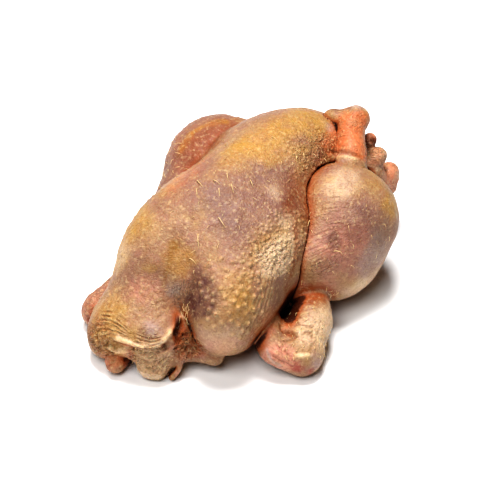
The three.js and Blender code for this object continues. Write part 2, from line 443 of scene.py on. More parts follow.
@dataclass(frozen=True)
class Gathers(Feature):
    """Folds side by side that fan out between a first and a last curve on the skin."""

    height: float
    count: float
    first: tuple[Point, ...]
    last: tuple[Point, ...]
    wander: float = 0.5
    shade: float = 1.0

    REACH = 6.0
    SPILL = (1.05, 1.5)
    ENDS = 0.2
    LEAST_SPAN = 1e-3
    FINEST = 1.5
    NARROWEST = 1.2
    LONG_WAVE = 9.0
    SHORT_WAVE = 4.0
    SHORT_SHARE = 0.6
    BREAK_WAVE = 6.0
    BREAK_STEPS = (7.3, 9.0, 3.1)
    WHOLE = 0.65
    OWN_BREAK = 0.9
    SHARED_BREAK = 0.5
    LEAST_WHOLE = 0.05
    MOST_WHOLE = 1.3
    MEAN_HEIGHT = 0.6

    def mark(self, skin: "Skin") -> None:
        """Lifts the skin in folds, lower where they run close together.

        Args:
            skin: the skin that gets the folds.
        """
        first, last = skin.line(self.first), skin.line(self.last)
        near = skin.near_to(np.vstack([first, last]), self.REACH)
        points = skin.points[near]
        gap_first, along = nearest_on(first, points)
        gap_last, along_last = nearest_on(last, points)
        along = (along + along_last) / 2
        span = self.span_at(along, first, last)
        width = span / self.count
        spill = (gap_first + gap_last) / np.maximum(span, self.LEAST_SPAN)
        cover = 1 - smoothstep(*self.SPILL, spill)
        cover *= fading(along, self.ENDS)
        cover *= smoothstep(0, self.FINEST, width)
        share = gap_first / np.maximum(gap_first + gap_last, self.LEAST_SPAN)
        warp = skin.grain.at(points, self.LONG_WAVE)
        warp = warp + self.SHORT_SHARE * skin.grain.at(points, self.SHORT_WAVE, shift=20)
        phase = self.count * share + self.wander * warp
        profile = np.abs(np.sin(math.pi * phase))
        cover *= self.whole_at(points, along, np.floor(phase), skin.grain)
        cover *= smoothstep(0, self.NARROWEST, width)
        skin.lift[near] += self.height * cover * (profile - self.MEAN_HEIGHT)
        # How crisply the pleats show: this sets their bump and how much painted highlight and shade
        # their crests and dips get.
        crisp = np.clip(self.shade * cover, 0, 1)
        firmer = crisp > skin.pleated[near]
        skin.pleated[near[firmer]] = crisp[firmer]
        skin.pleat[near[firmer]] = phase[firmer]

    def span_at(self, along: Array, first: Array, last: Array) -> Array:
        """Distance between the first and the last curve.

        Args:
            along: places along the curves, from zero to one.
            first: rows of points along the first curve, mm.
            last: rows of points along the last curve, mm.

        Returns:
            One distance for each place, mm.
        """
        places = np.linspace(0, 1, len(first))
        ends = np.linspace(0, 1, len(last))
        across = first - np.column_stack([np.interp(places, ends, axis) for axis in last.T])
        return np.interp(along, places, np.linalg.norm(across, axis=1))

    def whole_at(self, points: Array, along: Array, number: Array, grain: Grain) -> Array:
        """How much is left of each fold, as no fold runs through unbroken.

        Args:
            points: one row for each point, mm.
            along: each point's place along the folds, from zero to one.
            number: which fold each point is on.
            grain: what the breaks are drawn from.

        Returns:
            One share for each point.
        """
        step_a, step_b, step_c = self.BREAK_STEPS
        own = np.column_stack([number * step_a, along * step_b, number * step_c])
        whole = self.WHOLE + self.OWN_BREAK * grain.at(own, 1.0)
        whole = whole + self.SHARED_BREAK * grain.at(points, self.BREAK_WAVE, shift=50)
        return np.clip(whole, self.LEAST_WHOLE, self.MOST_WHOLE)


@dataclass(frozen=True)
class Rough(Feature):
    """Patch where the skin is crumpled into short creases that cross each other."""

    height: float
    grain: float
    at: Point
    radii: Point
    turn: Point = (0.0, 0.0, 0.0)
    core: float = 0.4
    stretch: float = 3.0
    shade: float = 0.8

    SLANTS = (-35.0, 28.0)
    SHIFT = 40

    def mark(self, skin: "Skin") -> None:
        """Lifts the skin in two sets of slanting creases.

        Args:
            skin: the skin that gets the creases.
        """
        near, cover = skin.inside(self)
        local = (skin.points[near] - np.array(self.at)) @ turned(self.turn)
        size = (self.grain, self.grain * self.stretch, self.grain)
        total = np.zeros(len(near))
        for slant in self.SLANTS:
            lattice = local @ turned((0.0, 0.0, slant)) + self.SHIFT + slant
            total += 1 - 3 * np.abs(skin.grain.at(lattice, size))
        profile = np.clip(total / 2, -1, 1) * cover
        skin.lift[near] += self.height * profile
        # Half the shade value paints highlight on the crests and shade in the creases.
        skin.ridge[near] += 0.5 * self.shade * profile
        raise_to(skin.crumple, near, self.shade * cover)


@dataclass(frozen=True)
class Tract(Feature):
    """Feather tract: plucked follicles stand up as small bumps all over a patch."""

    spacing: float
    height: float
    width: float
    at: Point
    radii: Point
    turn: Point = (0.0, 0.0, 0.0)
    core: float = 0.55
    pale: float = 1.0
    seed: int = 1

    SIZES = (0.35, 1.3)
    REACH = 2.2

    def mark(self, skin: "Skin") -> None:
        """Raises a bump at each follicle, no two of the same height.

        Args:
            skin: the skin that gets the bumps.
        """
        near, cover = skin.inside(self)
        draw = np.random.default_rng(self.seed)
        sites = skin.scatter(near, cover, self.spacing, draw)
        sizes = draw.uniform(*self.SIZES, len(sites))
        tree = KDTree(len(near))
        for index in near:
            tree.insert(skin.points[index], index)
        tree.balance()
        for site, size in zip(sites, sizes):
            found = tree.find_range(skin.points[site], self.REACH * self.width)
            index = np.array([number for _, number, _ in found])
            gap = np.array([away for _, _, away in found])
            profile = size * bell(gap, self.width)
            skin.lift[index] += self.height * profile
            raise_to(skin.papule, index, self.pale * profile)


class HairKind(Enum):
    """The two kinds of hair left on a plucked bird."""

    PALE = "pale_hairs"
    DARK = "dark_stubble"


@dataclass(frozen=True)
class Hair(Feature):
    """One long hair that lies on the skin from its root to its tip."""

    root: Point
    tip: Point
    arch: float = 1.6
    radius: float = 0.3

    UPWARDS = (0.0, -0.3, 1.0)

    def mark(self, skin: "Skin") -> None:
        """Lays the hair over the skin in an arch.

        Args:
            skin: the skin that it grows from.
        """
        root, tip = skin.line((self.root, self.tip))[[0, -1]]
        normal = np.cross(tip - root, np.cross(self.UPWARDS, tip - root))
        normal /= np.linalg.norm(normal)
        skin.grow(HairKind.PALE, root, tip, normal * self.arch, self.radius)


@dataclass(frozen=True)
class Stubs(Feature):
    """Hairs or feather stubs spread over a patch, all combed roughly one way."""

    spacing: float
    lengths: tuple[float, float]
    radius: float
    lie: Point
    at: Point
    radii: Point
    turn: Point = (0.0, 0.0, 0.0)
    core: float = 0.5
    stray: float = 0.6
    stand: float = 0.35
    seed: int = 1
    kind: HairKind = HairKind.PALE

    ARCH = 0.12

    def mark(self, skin: "Skin") -> None:
        """Plants the hairs and lays each one over in its own direction.

        Args:
            skin: the skin that they grow from.
        """
        near, cover = skin.inside(self)
        draw = np.random.default_rng(self.seed)
        for site in skin.scatter(near, cover, self.spacing, draw):
            root, normal = skin.points[site], skin.normals[site]
            lean = np.array(self.lie) + draw.normal(0, self.stray, 3)
            lean = lean - normal * (lean @ normal) + normal * self.stand
            length = draw.uniform(*self.lengths)
            tip = root + lean / np.linalg.norm(lean) * length
            skin.grow(self.kind, root, tip, normal * self.ARCH * length, self.radius)


@dataclass(frozen=True)
class SubAssembly:
    """One region of the bird: the masses under its skin and what shows on it."""

    seam: float
    cleft: tuple[float, float] = (0.0, 1.0)

    @cached_property
    def masses(self) -> list[Egg | Limb]:
        """The masses in the order they are joined."""
        values = [getattr(self, item.name) for item in fields(self)]
        return [value for value in values if isinstance(value, Egg | Limb)]

    def features(self) -> list[Feature]:
        """All that shows on the region's skin.

        Returns:
            The features in the order they are added.
        """
        values = [getattr(self, item.name) for item in fields(self)]
        rows = [value for value in values if isinstance(value, tuple)]
        return [item for row in rows for item in row if isinstance(item, Feature)]

    @cached_property
    def box(self) -> Array:
        """Space in which the region counts.

        Returns:
            Its lowest and its highest corner.
        """
        corners = np.array([mass.reach() for mass in self.masses])
        low, high = corners[:, 0].min(axis=0), corners[:, 1].max(axis=0)
        return np.array([low - FAR_AWAY, high + FAR_AWAY], np.float32)

    def distance(self, points: Array) -> Array:
        """Distance from points to the region; a fixed far value beyond its reach.

        Args:
            points: one row for each point, mm.

        Returns:
            One distance for each point.
        """
        low, high = self.box
        inside = ((points > low) & (points < high)).all(axis=1)
        near = points[inside]
        first, *others = self.masses
        distance = first.distance(near)
        for mass in others:
            if mass.hollow:
                distance = -join(-distance, mass.distance(near), mass.blend)
            else:
                distance = join(distance, mass.distance(near), mass.blend)
        result = np.full(len(points), FAR_AWAY, np.float32)
        result[inside] = distance
        return result

    def seam_at(self, points: Array) -> Array | float:
        """How softly the region meets what is joined before it, at points."""
        return self.seam

    def part_from(self, body: Array, own: Array) -> Array:
        """Lets the body fall back from the region in a cleft that closes further down.

        Args:
            body: distances to what is joined before the region, mm.
            own: distances to the region itself, mm.

        Returns:
            The distances to the body once the cleft is cut.
        """
        width, depth = self.cleft
        if width == 0:
            return body
        grown = own - width * smoothstep(-depth, 0, body)
        return -join(-body, grown, width)


# --------------------------------------------------------------------------------------------
# The regions of the bird
# --------------------------------------------------------------------------------------------


@dataclass(frozen=True)
class Trunk(SubAssembly):
    """Rib cage, breast, breastbone and belly."""

    seam: float = 0.0
    rib_cage: Egg = Egg(0, (-9, 12, 46), (48.5, 93.5, 48.5), (0, 0, -8))
    near_breast: Egg = Egg(25, (14.5, -22, 46), (38, 58, 43), (0, 0, -3))
    near_breast_front: Egg = Egg(14.5, (28, -62, 40.5), (24.5, 34, 32.5))
    far_breast: Egg = Egg(18, (-30.5, -35, 47.5), (32.5, 54, 42.5), (4, 0, -6))
    rear_breast: Egg = Egg(23.5, (-13.5, 50, 57.5), (40, 47, 40.5), (0, 0, -6))
    keel: Limb = Limb(
        29,
        ((-16, -49, 57.5), (-14.5, -26, 77.5), (-11, 10, 85.2), (-3.5, 55, 80), (0, 78.5, 70.5)),
        (12.5, 12.5, 11, 11.5, 13.5),
    )
    belly: Egg = Egg(18, (2, 77, 52), (34, 38, 38))
    wishbone_notch: Limb = Limb(
        12.5,
        ((-12, -74, 86), (-4, -82.5, 77), (0.5, -89, 66), (6.5, -95, 55)),
        (5.5, 7.5, 8, 7),
        hollow=True,
    )
    tints: tuple[Feature, ...] = (
        Streak(Tint.FAT, 0.4, 16, ((-11, 0, 104.4), (-10, 12, 105.5), (-9, 25, 106.7))),
        Streak(Tint.FAT, 0.75, 20, ((-10, 20, 105), (-4, 42, 106), (4, 64, 103), (8, 80, 98))),
        Streak(Tint.FAT, 0.7, 12, ((14, 60, 100), (16, 74, 97), (16, 86, 92))),
        Streak(Tint.FAT, 0.45, 9, ((6, 18, 104), (12, 34, 101), (18, 46, 97))),
        Patch(Tint.FAT, 0.4, (38, -70, 67), (14, 17, 18)),
        Patch(Tint.FAT, 0.7, (40, -30, 75), (14, 24, 14)),
        Patch(Tint.FAT, 0.55, (42, -75, 60), (14, 16, 20)),
        Patch(Tint.FAT, 0.7, (-50, -62, 60), (18, 36, 34), core=0.5),
        Patch(Tint.PALE, 0.5, (-46, -72, 58), (14, 22, 22)),
        Patch(Tint.FAT, 0.6, (-9, -72, 70), (16, 16, 22)),
        Patch(Tint.FAT, 0.45, (-62, -40, 50), (22, 50, 40)),
        Patch(Tint.FLESH, 1.0, (16, -10, 92), (38, 50, 24), core=0.5),
        Patch(Tint.FLESH, 0.8, (-10, -30, 98), (26, 22, 12)),
        Patch(Tint.FLESH, 0.8, (-30, -40, 85), (17, 22, 14)),
        Patch(Tint.RAW, 0.35, (-34, -16, 88), (18, 34, 18)),
        Patch(Tint.BRUISE, 0.45, (33, 10, 84), (12, 20, 14)),
        Patch(Tint.BRUISE, 0.4, (-2, -34, 96), (18, 20, 12)),
        Patch(Tint.BRUISE, 0.35, (14, -44, 88), (14, 22, 14)),
        Patch(Tint.BRUISE, 1.0, (17, -84, 61), (19, 18, 28), core=0.5),
        Patch(Tint.BRUISE, 0.45, (49, -46, 52), (8, 18, 18)),
        Patch(Tint.BRUISE, 0.25, (-40, -52, 76), (10, 14, 10)),
        Patch(Tint.PALE, 0.5, (22, 0, 92), (9, 10, 8)),
        Patch(Tint.PALE, 1.0, (44, -32, 70), (13, 28, 18), core=0.5),
        Patch(Tint.PALE, 0.45, (38, -88, 40), (22, 16, 16)),
        Patch(Tint.PALE, 0.4, (38, -12, 80), (8, 12, 9)),
        Patch(Tint.PINK, 0.4, (-22, -92, 55), (16, 14, 14)),
        Patch(Tint.PINK, 0.4, (40, -92, 34), (22, 14, 14)),
        Patch(Tint.RAW, 0.3, (52, -62, 36), (9, 18, 16)),
        Patch(Tint.STAIN, 0.95, (-13, -69, 78), (5.5, 5, 6), core=0.4),
        Streak(Tint.STAIN, 0.85, 2.6, ((-13.5, -69, 77), (-12.2, -74, 72), (-10.7, -76, 69))),
        Streak(Tint.STAIN, 0.45, 1.6, ((-12, -78, 67), (-11, -82, 61), (-9.5, -85, 56))),
        Patch(Tint.STAIN, 0.55, (-21, -72, 72), (12, 7, 5)),
        Patch(Tint.CHILL, 0.7, (-4, -82, 58), (8, 9, 12)),
        Patch(Tint.RAW, 0.5, (24, 70, 92), (10, 16, 12)),
        # Painted crease shade left off where the trunk meets the near shank.
        NoPaintedShade(0.75, (26, 66, 86), (14, 20, 14)),
        Patch(Tint.GRISTLE, 0.55, (17, 82, 94), (7, 9, 9)),
        # Painted shade in the fold between the breast and the near leg.
        Patch(Tint.TUCKED, 0.5, (28, 66, 84), (12, 22, 18)),
        Streak(Tint.TUCKED, 0.6, 18, ((32, 66, 84), (29, 44, 88), (31, 24, 86), (36, 6, 80))),
        Streak(Tint.TUCKED, 0.7, 5, ((33, 6, 82), (43, -10, 74), (50, -22, 60), (52, -34, 48))),
        Patch(Tint.FLESH, 0.9, (-28, -20, 95), (16, 28, 14)),
    )
    relief: tuple[Feature, ...] = (
        Tract(5.0, 1.7, 1.45, (36, -72, 62), (27, 27, 32), core=0.8, seed=3),
        Tract(2.8, 1.15, 1.0, (40, -34, 74), (17, 38, 20), core=0.75, seed=4),
        Rough(
            0.6, 1.7, (42, -36, 72), (16, 30, 18), (0, 0, -58), core=0.5, stretch=2.5, shade=0.45
        ),
        Tract(3.6, 0.65, 0.9, (18, 48, 94), (20, 30, 16), core=0.6, pale=0.6, seed=5),
        Tract(7.0, 0.45, 1.0, (4, -25, 96), (52, 62, 26), pale=0.4, seed=6),
        Tract(6.2, 0.55, 1.1, (-46, -48, 66), (38, 62, 42), pale=0.7, seed=7),
        Gathers(
            0.5,
            10,
            ((50, -40, 58), (52, -56, 44), (50, -72, 34)),
            ((45, -56, 66), (47, -74, 50), (44, -86, 36)),
            wander=0.8,
            shade=0.5,
        ),
        Rough(0.45, 1.8, (20, 54, 92), (18, 30, 18), (0, 30, 0), shade=0.5),
        Fold(-0.7, 4.5, ((-12, -64, 82), (-11, -76, 69), (-8, -86, 54)), shade=0.0),
    )
    hairs: tuple[Feature, ...] = (
        Hair((-23.6, -24.9, 99.6), (-15, -29, 99)),
        Hair((-18.6, -31.2, 99.2), (-14.5, -37, 97)),
        Hair((-13.3, -21.3, 101.4), (-6, -22, 100.5), 2.4),
        Hair((-6.2, -23.9, 100.2), (-1.5, -30, 97)),
        Hair((-8.6, -10.3, 102.8), (-4, -16, 101)),
        Hair((-1.7, -16.4, 100.5), (4, -22, 97)),
        Hair((5.8, -4.8, 99.2), (11, -9, 96)),
        Hair((4.6, -42.1, 92.2), (12, -45, 88)),
        Hair((-1.1, -57.1, 85.9), (4, -64, 80)),
        Hair((-0.3, -69.4, 74.7), (7, -71, 73), 2.2),
        Hair((16.5, 37.6, 96.2), (18, 34, 92)),
        Hair((18.1, 44.2, 95.2), (20, 41, 91)),
        Stubs(3.8, (1.6, 3.4), 0.2, (0.4, -0.8, -0.6), (18, 52, 94), (16, 26, 14), seed=11),
        Stubs(12.0, (2.0, 5.0), 0.18, (0.3, -1, -0.3), (0, -20, 92), (56, 90, 40), seed=12),
        Stubs(5.5, (1.2, 2.6), 0.18, (0.8, -0.8, -0.6), (40, -36, 72), (16, 36, 22), seed=13),
        Stubs(
            1.5,
            (1.0, 2.6),
            0.17,
            (0.2, -0.5, -1),
            (2, -82, 56),
            (9, 8, 15),
            seed=14,
            kind=HairKind.DARK,
        ),
        Stubs(2.4, (3.0, 6.5), 0.15, (1, -0.6, -1.2), (6, -85, 44), (5, 6, 9), seed=15),
    )


@dataclass(frozen=True)
class NeckSkin(SubAssembly):
    """Loose skin of the neck, folded to the surface in front of the breast."""

    seam: float = 2.7
    seam_far: float = 20.0
    closes_from: float = -14.5
    closes_to: float = 5.5
    bag: Egg = Egg(0, (-21.5, -87, 21.5), (38, 33.5, 24.5), (-14, 0, 8))
    side_lobe: Egg = Egg(11, (-40.5, -104, 15.5), (14.5, 17, 14.5))
    flap: Limb = Limb(9, ((-12.5, -92.5, 21.5), (-5.5, -103, 15), (-4, -108.5, 7.5)), (17, 13.5, 7))
    flap_rim: Limb = Limb(5, ((-12, -112, 9), (-5, -110.5, 6.5), (0.5, -109.5, 5.5)), (6, 6, 4.6))
    crossing_fold: Limb = Limb(8, ((-9, -85, 20), (11, -87, 17), (28, -84, 13)), (13.5, 9, 6))
    pocket: Limb = Limb(
        5, ((7, -87, 46), (13.5, -97, 33), (22, -103, 18)), (3.5, 6, 7), hollow=True
    )
    throat: Egg = Egg(5.5, (-19, -124, 5), (8, 19, 10), hollow=True)
    stump: Limb = Limb(2, ((-29, -92.5, 14.5), (-27.5, -111, 10), (-27, -119, 8.5)), (9, 7.5, 6.8))
    undercut: Limb = Limb(
        2.5,
        ((-31, -122, 25), (-20, -121.5, 27), (-12.5, -120, 26.5), (-1, -116, 26.5), (7, -106, 30)),
        (1.5, 2.6, 2.6, 2.6, 2.2),
        hollow=True,
    )
    lip: Limb = Limb(
        3,
        ((-26, -118, 30.5), (-12.5, -117.5, 30.5), (-2, -113.5, 31), (5, -102, 36.5)),
        (1.9, 2.1, 2.0, 1.7),
    )
    tendril: Limb = Limb(2, ((11, -99, 14), (11.5, -102.5, 9), (8.5, -106, 3)), (2.2, 2.0, 2.4))
    tints: tuple[Feature, ...] = (
        Patch(Tint.FAT, 0.65, (-32, -106, 28), (28, 26, 26)),
        Patch(Tint.FAT, 0.5, (-4, -112, 20), (18, 14, 18)),
        Patch(Tint.PALE, 0.6, (-2, -114, 18), (17, 12, 18), core=0.6),
        # Painted crease shade left off on the neck flap.
        NoPaintedShade(0.5, (-2, -116, 14), (20, 12, 20)),
        Patch(Tint.GRISTLE, 0.6, (-5, -106, 40), (9, 7, 6)),
        Patch(Tint.BRUISE, 0.55, (-6, -110, 37), (10, 6, 5)),
        Streak(
            Tint.PALE,
            0.95,
            2.4,
            (
                (-23, -119, 33),
                (-17, -119, 32.6),
                (-10, -118.5, 32),
                (-3.5, -116.5, 32),
                (3.6, -111, 33),
            ),
        ),
        Streak(
            Tint.PALE, 0.85, 2.2, ((3.6, -111, 33), (6, -100, 38), (5, -92, 39), (5.5, -86.5, 40))
        ),
        Streak(Tint.PALE, 0.7, 2.0, ((-29, -120, 23), (-23.5, -120, 22), (-15, -120.5, 28))),
        Patch(Tint.RAW, 0.85, (-17, -120, 29), (6, 4, 2.5)),
        Patch(Tint.PINK, 0.7, (-16, -119.5, 22), (5, 5, 6)),
        Patch(Tint.RAW, 0.9, (-29, -118, 10), (11, 16, 10)),
        # Painted crease shade left off on the neck stump.
        NoPaintedShade(0.4, (-28, -121, 9), (11, 8, 10)),
        Patch(Tint.FLESH, 0.6, (-29, -122, 8), (8, 8, 8)),
        # Painted shade in the pocket between the neck flap and the breast.
        Patch(Tint.MURKY, 1.0, (7, -92, 28), (7, 8, 14), core=0.5),
        Patch(Tint.MURKY, 0.8, (14, -93, 22), (7, 7, 8), core=0.4),
        Patch(Tint.STAIN, 0.5, (13, -94, 30), (10, 9, 14)),
        Patch(Tint.RAW, 0.6, (18, -98, 20), (16, 10, 6)),
        Patch(Tint.PINK, 0.7, (14, -108, 8), (4, 9, 8)),
        Patch(Tint.PALE, 1.0, (0, -117, 6), (14, 7, 5), core=0.6),
        Patch(Tint.RAW, 0.3, (-38, -112, 32), (12, 10, 6)),
    )
    relief: tuple[Feature, ...] = (
        Gathers(
            1.1,
            9,
            (
                (-48, -107, 34),
                (-37, -108, 40),
                (-26, -110, 41.6),
                (-18, -113, 39),
                (-12, -113.5, 37.7),
            ),
            (
                (-40, -119, 28),
                (-33, -118, 32),
                (-25, -118, 34),
                (-18.7, -117.5, 34.5),
                (-12, -117, 34),
            ),
        ),
        Gathers(
            0.7,
            6,
            ((-14, -113, 38), (-4, -110, 37), (3, -105, 38)),
            ((-13, -118, 33), (-3, -115.5, 32.5), (4, -110, 33.5)),
        ),
        Rough(1.4, 2.2, (-4, -114, 21), (18, 15, 17), (0, 0, 20), core=0.6, shade=0.4),
        Rough(0.7, 1.7, (-4, -114, 21), (18, 15, 17), (0, 0, -40), core=0.6, shade=0.4),
        Rough(1.4, 2.0, (-38, -113, 22), (17, 17, 17), (50, 0, 0), core=0.6, shade=0.7),
        Rough(1.1, 2.2, (16, -96, 26), (15, 13, 15), core=0.6, shade=0.7),
        Rough(0.35, 2.4, (-24, -98, 44), (32, 24, 16), (0, 0, 40), core=0.5, shade=0.1),
        Fold(
            1.2,
            1.3,
            (
                (-27, -119.5, 31),
                (-17, -119.5, 32.3),
                (-10, -119, 31.8),
                (-3.5, -117, 31.6),
                (4, -111, 32.5),
            ),
            0.2,
        ),
        Fold(
            -1.6,
            1.5,
            ((-30, -120, 28), (-20, -120.5, 29), (-12, -120, 29), (-4, -118, 28.5), (4, -113, 29)),
            0.2,
        ),
        Fold(1.2, 1.6, ((4, -110, 33.5), (5.5, -100, 38), (5, -92, 39), (5.5, -86, 40)), 0.2),
        Fold(1.0, 1.5, ((-31, -120, 23), (-23.5, -120, 22), (-15, -120, 25)), 0.2),
        Fold(-1.0, 1.2, ((-25, -121, 13), (-29, -123, 8), (-34, -123, 9)), 0.2),
        Tract(4.6, 0.5, 1.05, (-30, -96, 46), (26, 22, 18), seed=8),
    )
    hairs: tuple[Feature, ...] = (
        Stubs(4.5, (1.2, 2.8), 0.15, (0.3, -0.6, -1), (-2, -112, 22), (18, 14, 18), seed=16),
        Stubs(
            1.7,
            (1.0, 2.4),
            0.17,
            (0.4, -0.4, -1),
            (12, -92, 34),
            (8, 8, 12),
            seed=17,
            kind=HairKind.DARK,
        ),
    )

    def seam_at(self, points: Array) -> Array:
        """Runs smoothly into the breast on the far side and tucks under it on the near side."""
        share = smoothstep(self.closes_from, self.closes_to, points[:, 0])
        return self.seam_far + (self.seam - self.seam_far) * share


@dataclass(frozen=True)
class NearLeg(SubAssembly):
    """Drumstick and thigh on the near side, folded up against the body."""

    seam: float = 1.0
    cleft: tuple[float, float] = (1.1, 8.0)
    calf: Egg = Egg(0, (48, 44.5, 52.5), (40.5, 39, 34.5))
    thigh: Egg = Egg(14.5, (58, 29, 30), (25.5, 34, 25.5))
    shin_muscle: Egg = Egg(16, (50, 11, 40.5), (21.5, 29, 22.5), (-20, 0, 0))
    knee: Egg = Egg(12.5, (50, -11, 28.5), (9, 12, 9))
    tints: tuple[Feature, ...] = (
        Patch(Tint.FLESH, 0.95, (66, 20, 56), (30, 36, 34), core=0.5),
        Patch(Tint.PINK, 0.5, (66, 12, 58), (26, 28, 30), core=0.4),
        Patch(Tint.PALE, 0.55, (51, 40, 84), (17, 22, 12)),
        Patch(Tint.PALE, 0.4, (66, 24, 74), (9, 10, 8)),
        Patch(Tint.FAT, 0.9, (79, 54, 66), (10, 16, 16)),
        Patch(Tint.FAT, 0.4, (64, 62, 78), (16, 18, 14)),
        Patch(Tint.BRUISE, 0.7, (62, 8, 62), (10, 10, 10)),
        Patch(Tint.BRUISE, 0.45, (68, 24, 68), (16, 22, 20)),
        Patch(Tint.CHILL, 0.5, (82, 32, 52), (12, 17, 18)),
        Patch(Tint.GRISTLE, 0.5, (84, 26, 44), (12, 22, 18)),
        Patch(Tint.PINK, 0.45, (66, -4, 40), (16, 22, 16)),
        Patch(Tint.RAW, 0.5, (52, -22, 34), (10, 14, 12)),
        Patch(Tint.PALE, 0.8, (78, 18, 24), (18, 28, 14)),
        Patch(Tint.PALE, 0.35, (60, -16, 30), (12, 14, 6)),
    )
    relief: tuple[Feature, ...] = (
        Gathers(
            0.35,
            26,
            ((38, 30, 82), (47, 34, 86), (58, 40, 86)),
            ((52, -12, 50), (62, -6, 56), (70, 4, 60)),
            wander=0.25,
            shade=0.2,
        ),
        Gathers(
            0.4,
            14,
            ((52, -14, 50), (62, -8, 54), (72, 2, 56)),
            ((54, -20, 36), (63, -12, 34), (73, 0, 32)),
            wander=0.25,
            shade=0.2,
        ),
        Tract(5.4, 0.3, 1.0, (66, 20, 60), (26, 40, 34), pale=0.35, seed=9),
    )
    hairs: tuple[Feature, ...] = (
        Hair((45, 9, 74), (47, 3, 70), 1.0),
        Hair((65, 3, 58), (71, 6, 55), 2.6),
        Stubs(12.0, (2.0, 4.0), 0.17, (0.6, -0.5, -1), (66, 20, 56), (30, 44, 40), seed=18),
        Stubs(2.6, (2.5, 5.0), 0.16, (0.6, -1, -0.8), (68, -4, 28), (7, 6, 5), seed=19),
    )


@dataclass(frozen=True)
class NearShank(SubAssembly):
    """Bare shank of the near leg, ending in the cut hock joint."""

    seam: float = 1.0
    cleft: tuple[float, float] = (0.55, 8.0)
    shank: Limb = Limb(
        0,
        ((45, 59, 65), (39.5, 71.5, 75.5), (30.5, 86, 83), (23.5, 98.5, 89)),
        (13.5, 11.3, 10.2, 10.4),
    )
    outer_condyle: Egg = Egg(4.5, (26.3, 103, 91), (9, 8, 8))
    inner_condyle: Egg = Egg(3.5, (12, 95, 90.3), (7.5, 6.5, 6))
    hock_cleft: Egg = Egg(3.5, (19.5, 100, 100), (3.5, 9, 3.6), (0, 0, 20), hollow=True)
    tints: tuple[Feature, ...] = (
        Patch(Tint.RAW, 0.95, (31, 86, 84), (20, 26, 22), core=0.75),
        Patch(Tint.GRISTLE, 0.7, (36, 66, 84), (10, 6, 9)),
        Patch(Tint.GRISTLE, 0.8, (24, 106, 100), (10, 6, 4)),
        Patch(Tint.BRUISE, 0.5, (10, 98, 96), (8, 6, 4)),
        Patch(Tint.FAT, 0.7, (33, 104, 92), (6, 8, 10)),
        Streak(Tint.PALE, 0.6, 3.0, ((36, 96, 88), (42, 84, 80), (46, 72, 74))),
    )
    relief: tuple[Feature, ...] = (
        Rough(0.25, 2.4, (26, 92, 88), (16, 24, 14), shade=0.4),
        Rough(0.5, 2.0, (44, 84, 76), (8, 26, 16), shade=0.7),
        Fold(0.8, 1.6, ((28, 62, 84), (36, 66, 84), (44, 70, 78))),
        Fold(-0.8, 1.2, ((26, 65, 86), (35, 69, 86), (44, 73, 79))),
    )


@dataclass(frozen=True)
class FarLeg(SubAssembly):
    """Leg on the far side, its hock reaching across behind the belly."""

    seam: float = 2.5
    calf: Egg = Egg(0, (-60, 52, 49.5), (32.2, 40, 33.6))
    thigh: Egg = Egg(14.5, (-60.5, 33.5, 30.5), (24.5, 34, 25))
    knee: Egg = Egg(16, (-57.5, 6.5, 36), (20, 25, 20))
    shank: Limb = Limb(12.5, ((-43, 69.5, 56), (-3.5, 98.5, 62), (29, 105, 62)), (18, 11.5, 8))
    outer_condyle: Egg = Egg(3.5, (42, 105, 62), (7, 7, 6.3))
    inner_condyle: Egg = Egg(3, (34, 108.5, 70.5), (4.8, 5.2, 5.2))
    tints: tuple[Feature, ...] = (
        Patch(Tint.FLESH, 0.9, (-66, 36, 64), (30, 60, 40), core=0.7),
        Patch(Tint.BRUISE, 0.3, (-60, 30, 74), (24, 40, 22)),
        Patch(Tint.RAW, 0.3, (-62, 34, 70), (28, 46, 24)),
        # Painted shade where the far leg meets the body.
        Patch(Tint.TUCKED, 0.6, (-50, 36, 74), (24, 50, 24), core=0.45),
        Streak(Tint.FAT, 0.8, 5.0, ((-70, 26, 70), (-68, 40, 74), (-64, 50, 79), (-56, 60, 80))),
        Patch(Tint.PALE, 1.0, (38, 106, 66), (16, 14, 20), core=0.7),
        Patch(Tint.RAW, 0.6, (38, 106, 64), (15, 14, 18), core=0.7),
        Patch(Tint.FAT, 0.6, (38, 102, 63), (9, 8, 6)),
        Patch(Tint.PINK, 0.8, (36, 107, 73), (8, 8, 8), core=0.6),
        Patch(Tint.BLOOD, 0.9, (39, 108, 72), (3, 4, 4.5)),
        Patch(Tint.BRUISE, 0.3, (49, 104, 62), (4, 6, 6)),
        # Painted crease shade left off on the far hock.
        NoPaintedShade(1.0, (40, 107, 66), (18, 14, 22), core=0.8),
    )
    relief: tuple[Feature, ...] = (
        Tract(4.6, 0.4, 1.0, (-62, 30, 62), (34, 56, 34), pale=0.0, seed=10),
        Rough(0.35, 2.4, (38, 106, 64), (13, 12, 14)),
        Fold(-1.2, 1.6, ((37, 104, 76), (39.5, 107, 72), (41, 109, 68))),
    )
    hairs: tuple[Feature, ...] = (
        Stubs(6.0, (3.0, 6.0), 0.2, (-0.6, -1, 0.2), (-74, 20, 52), (18, 36, 24), seed=20),
    )


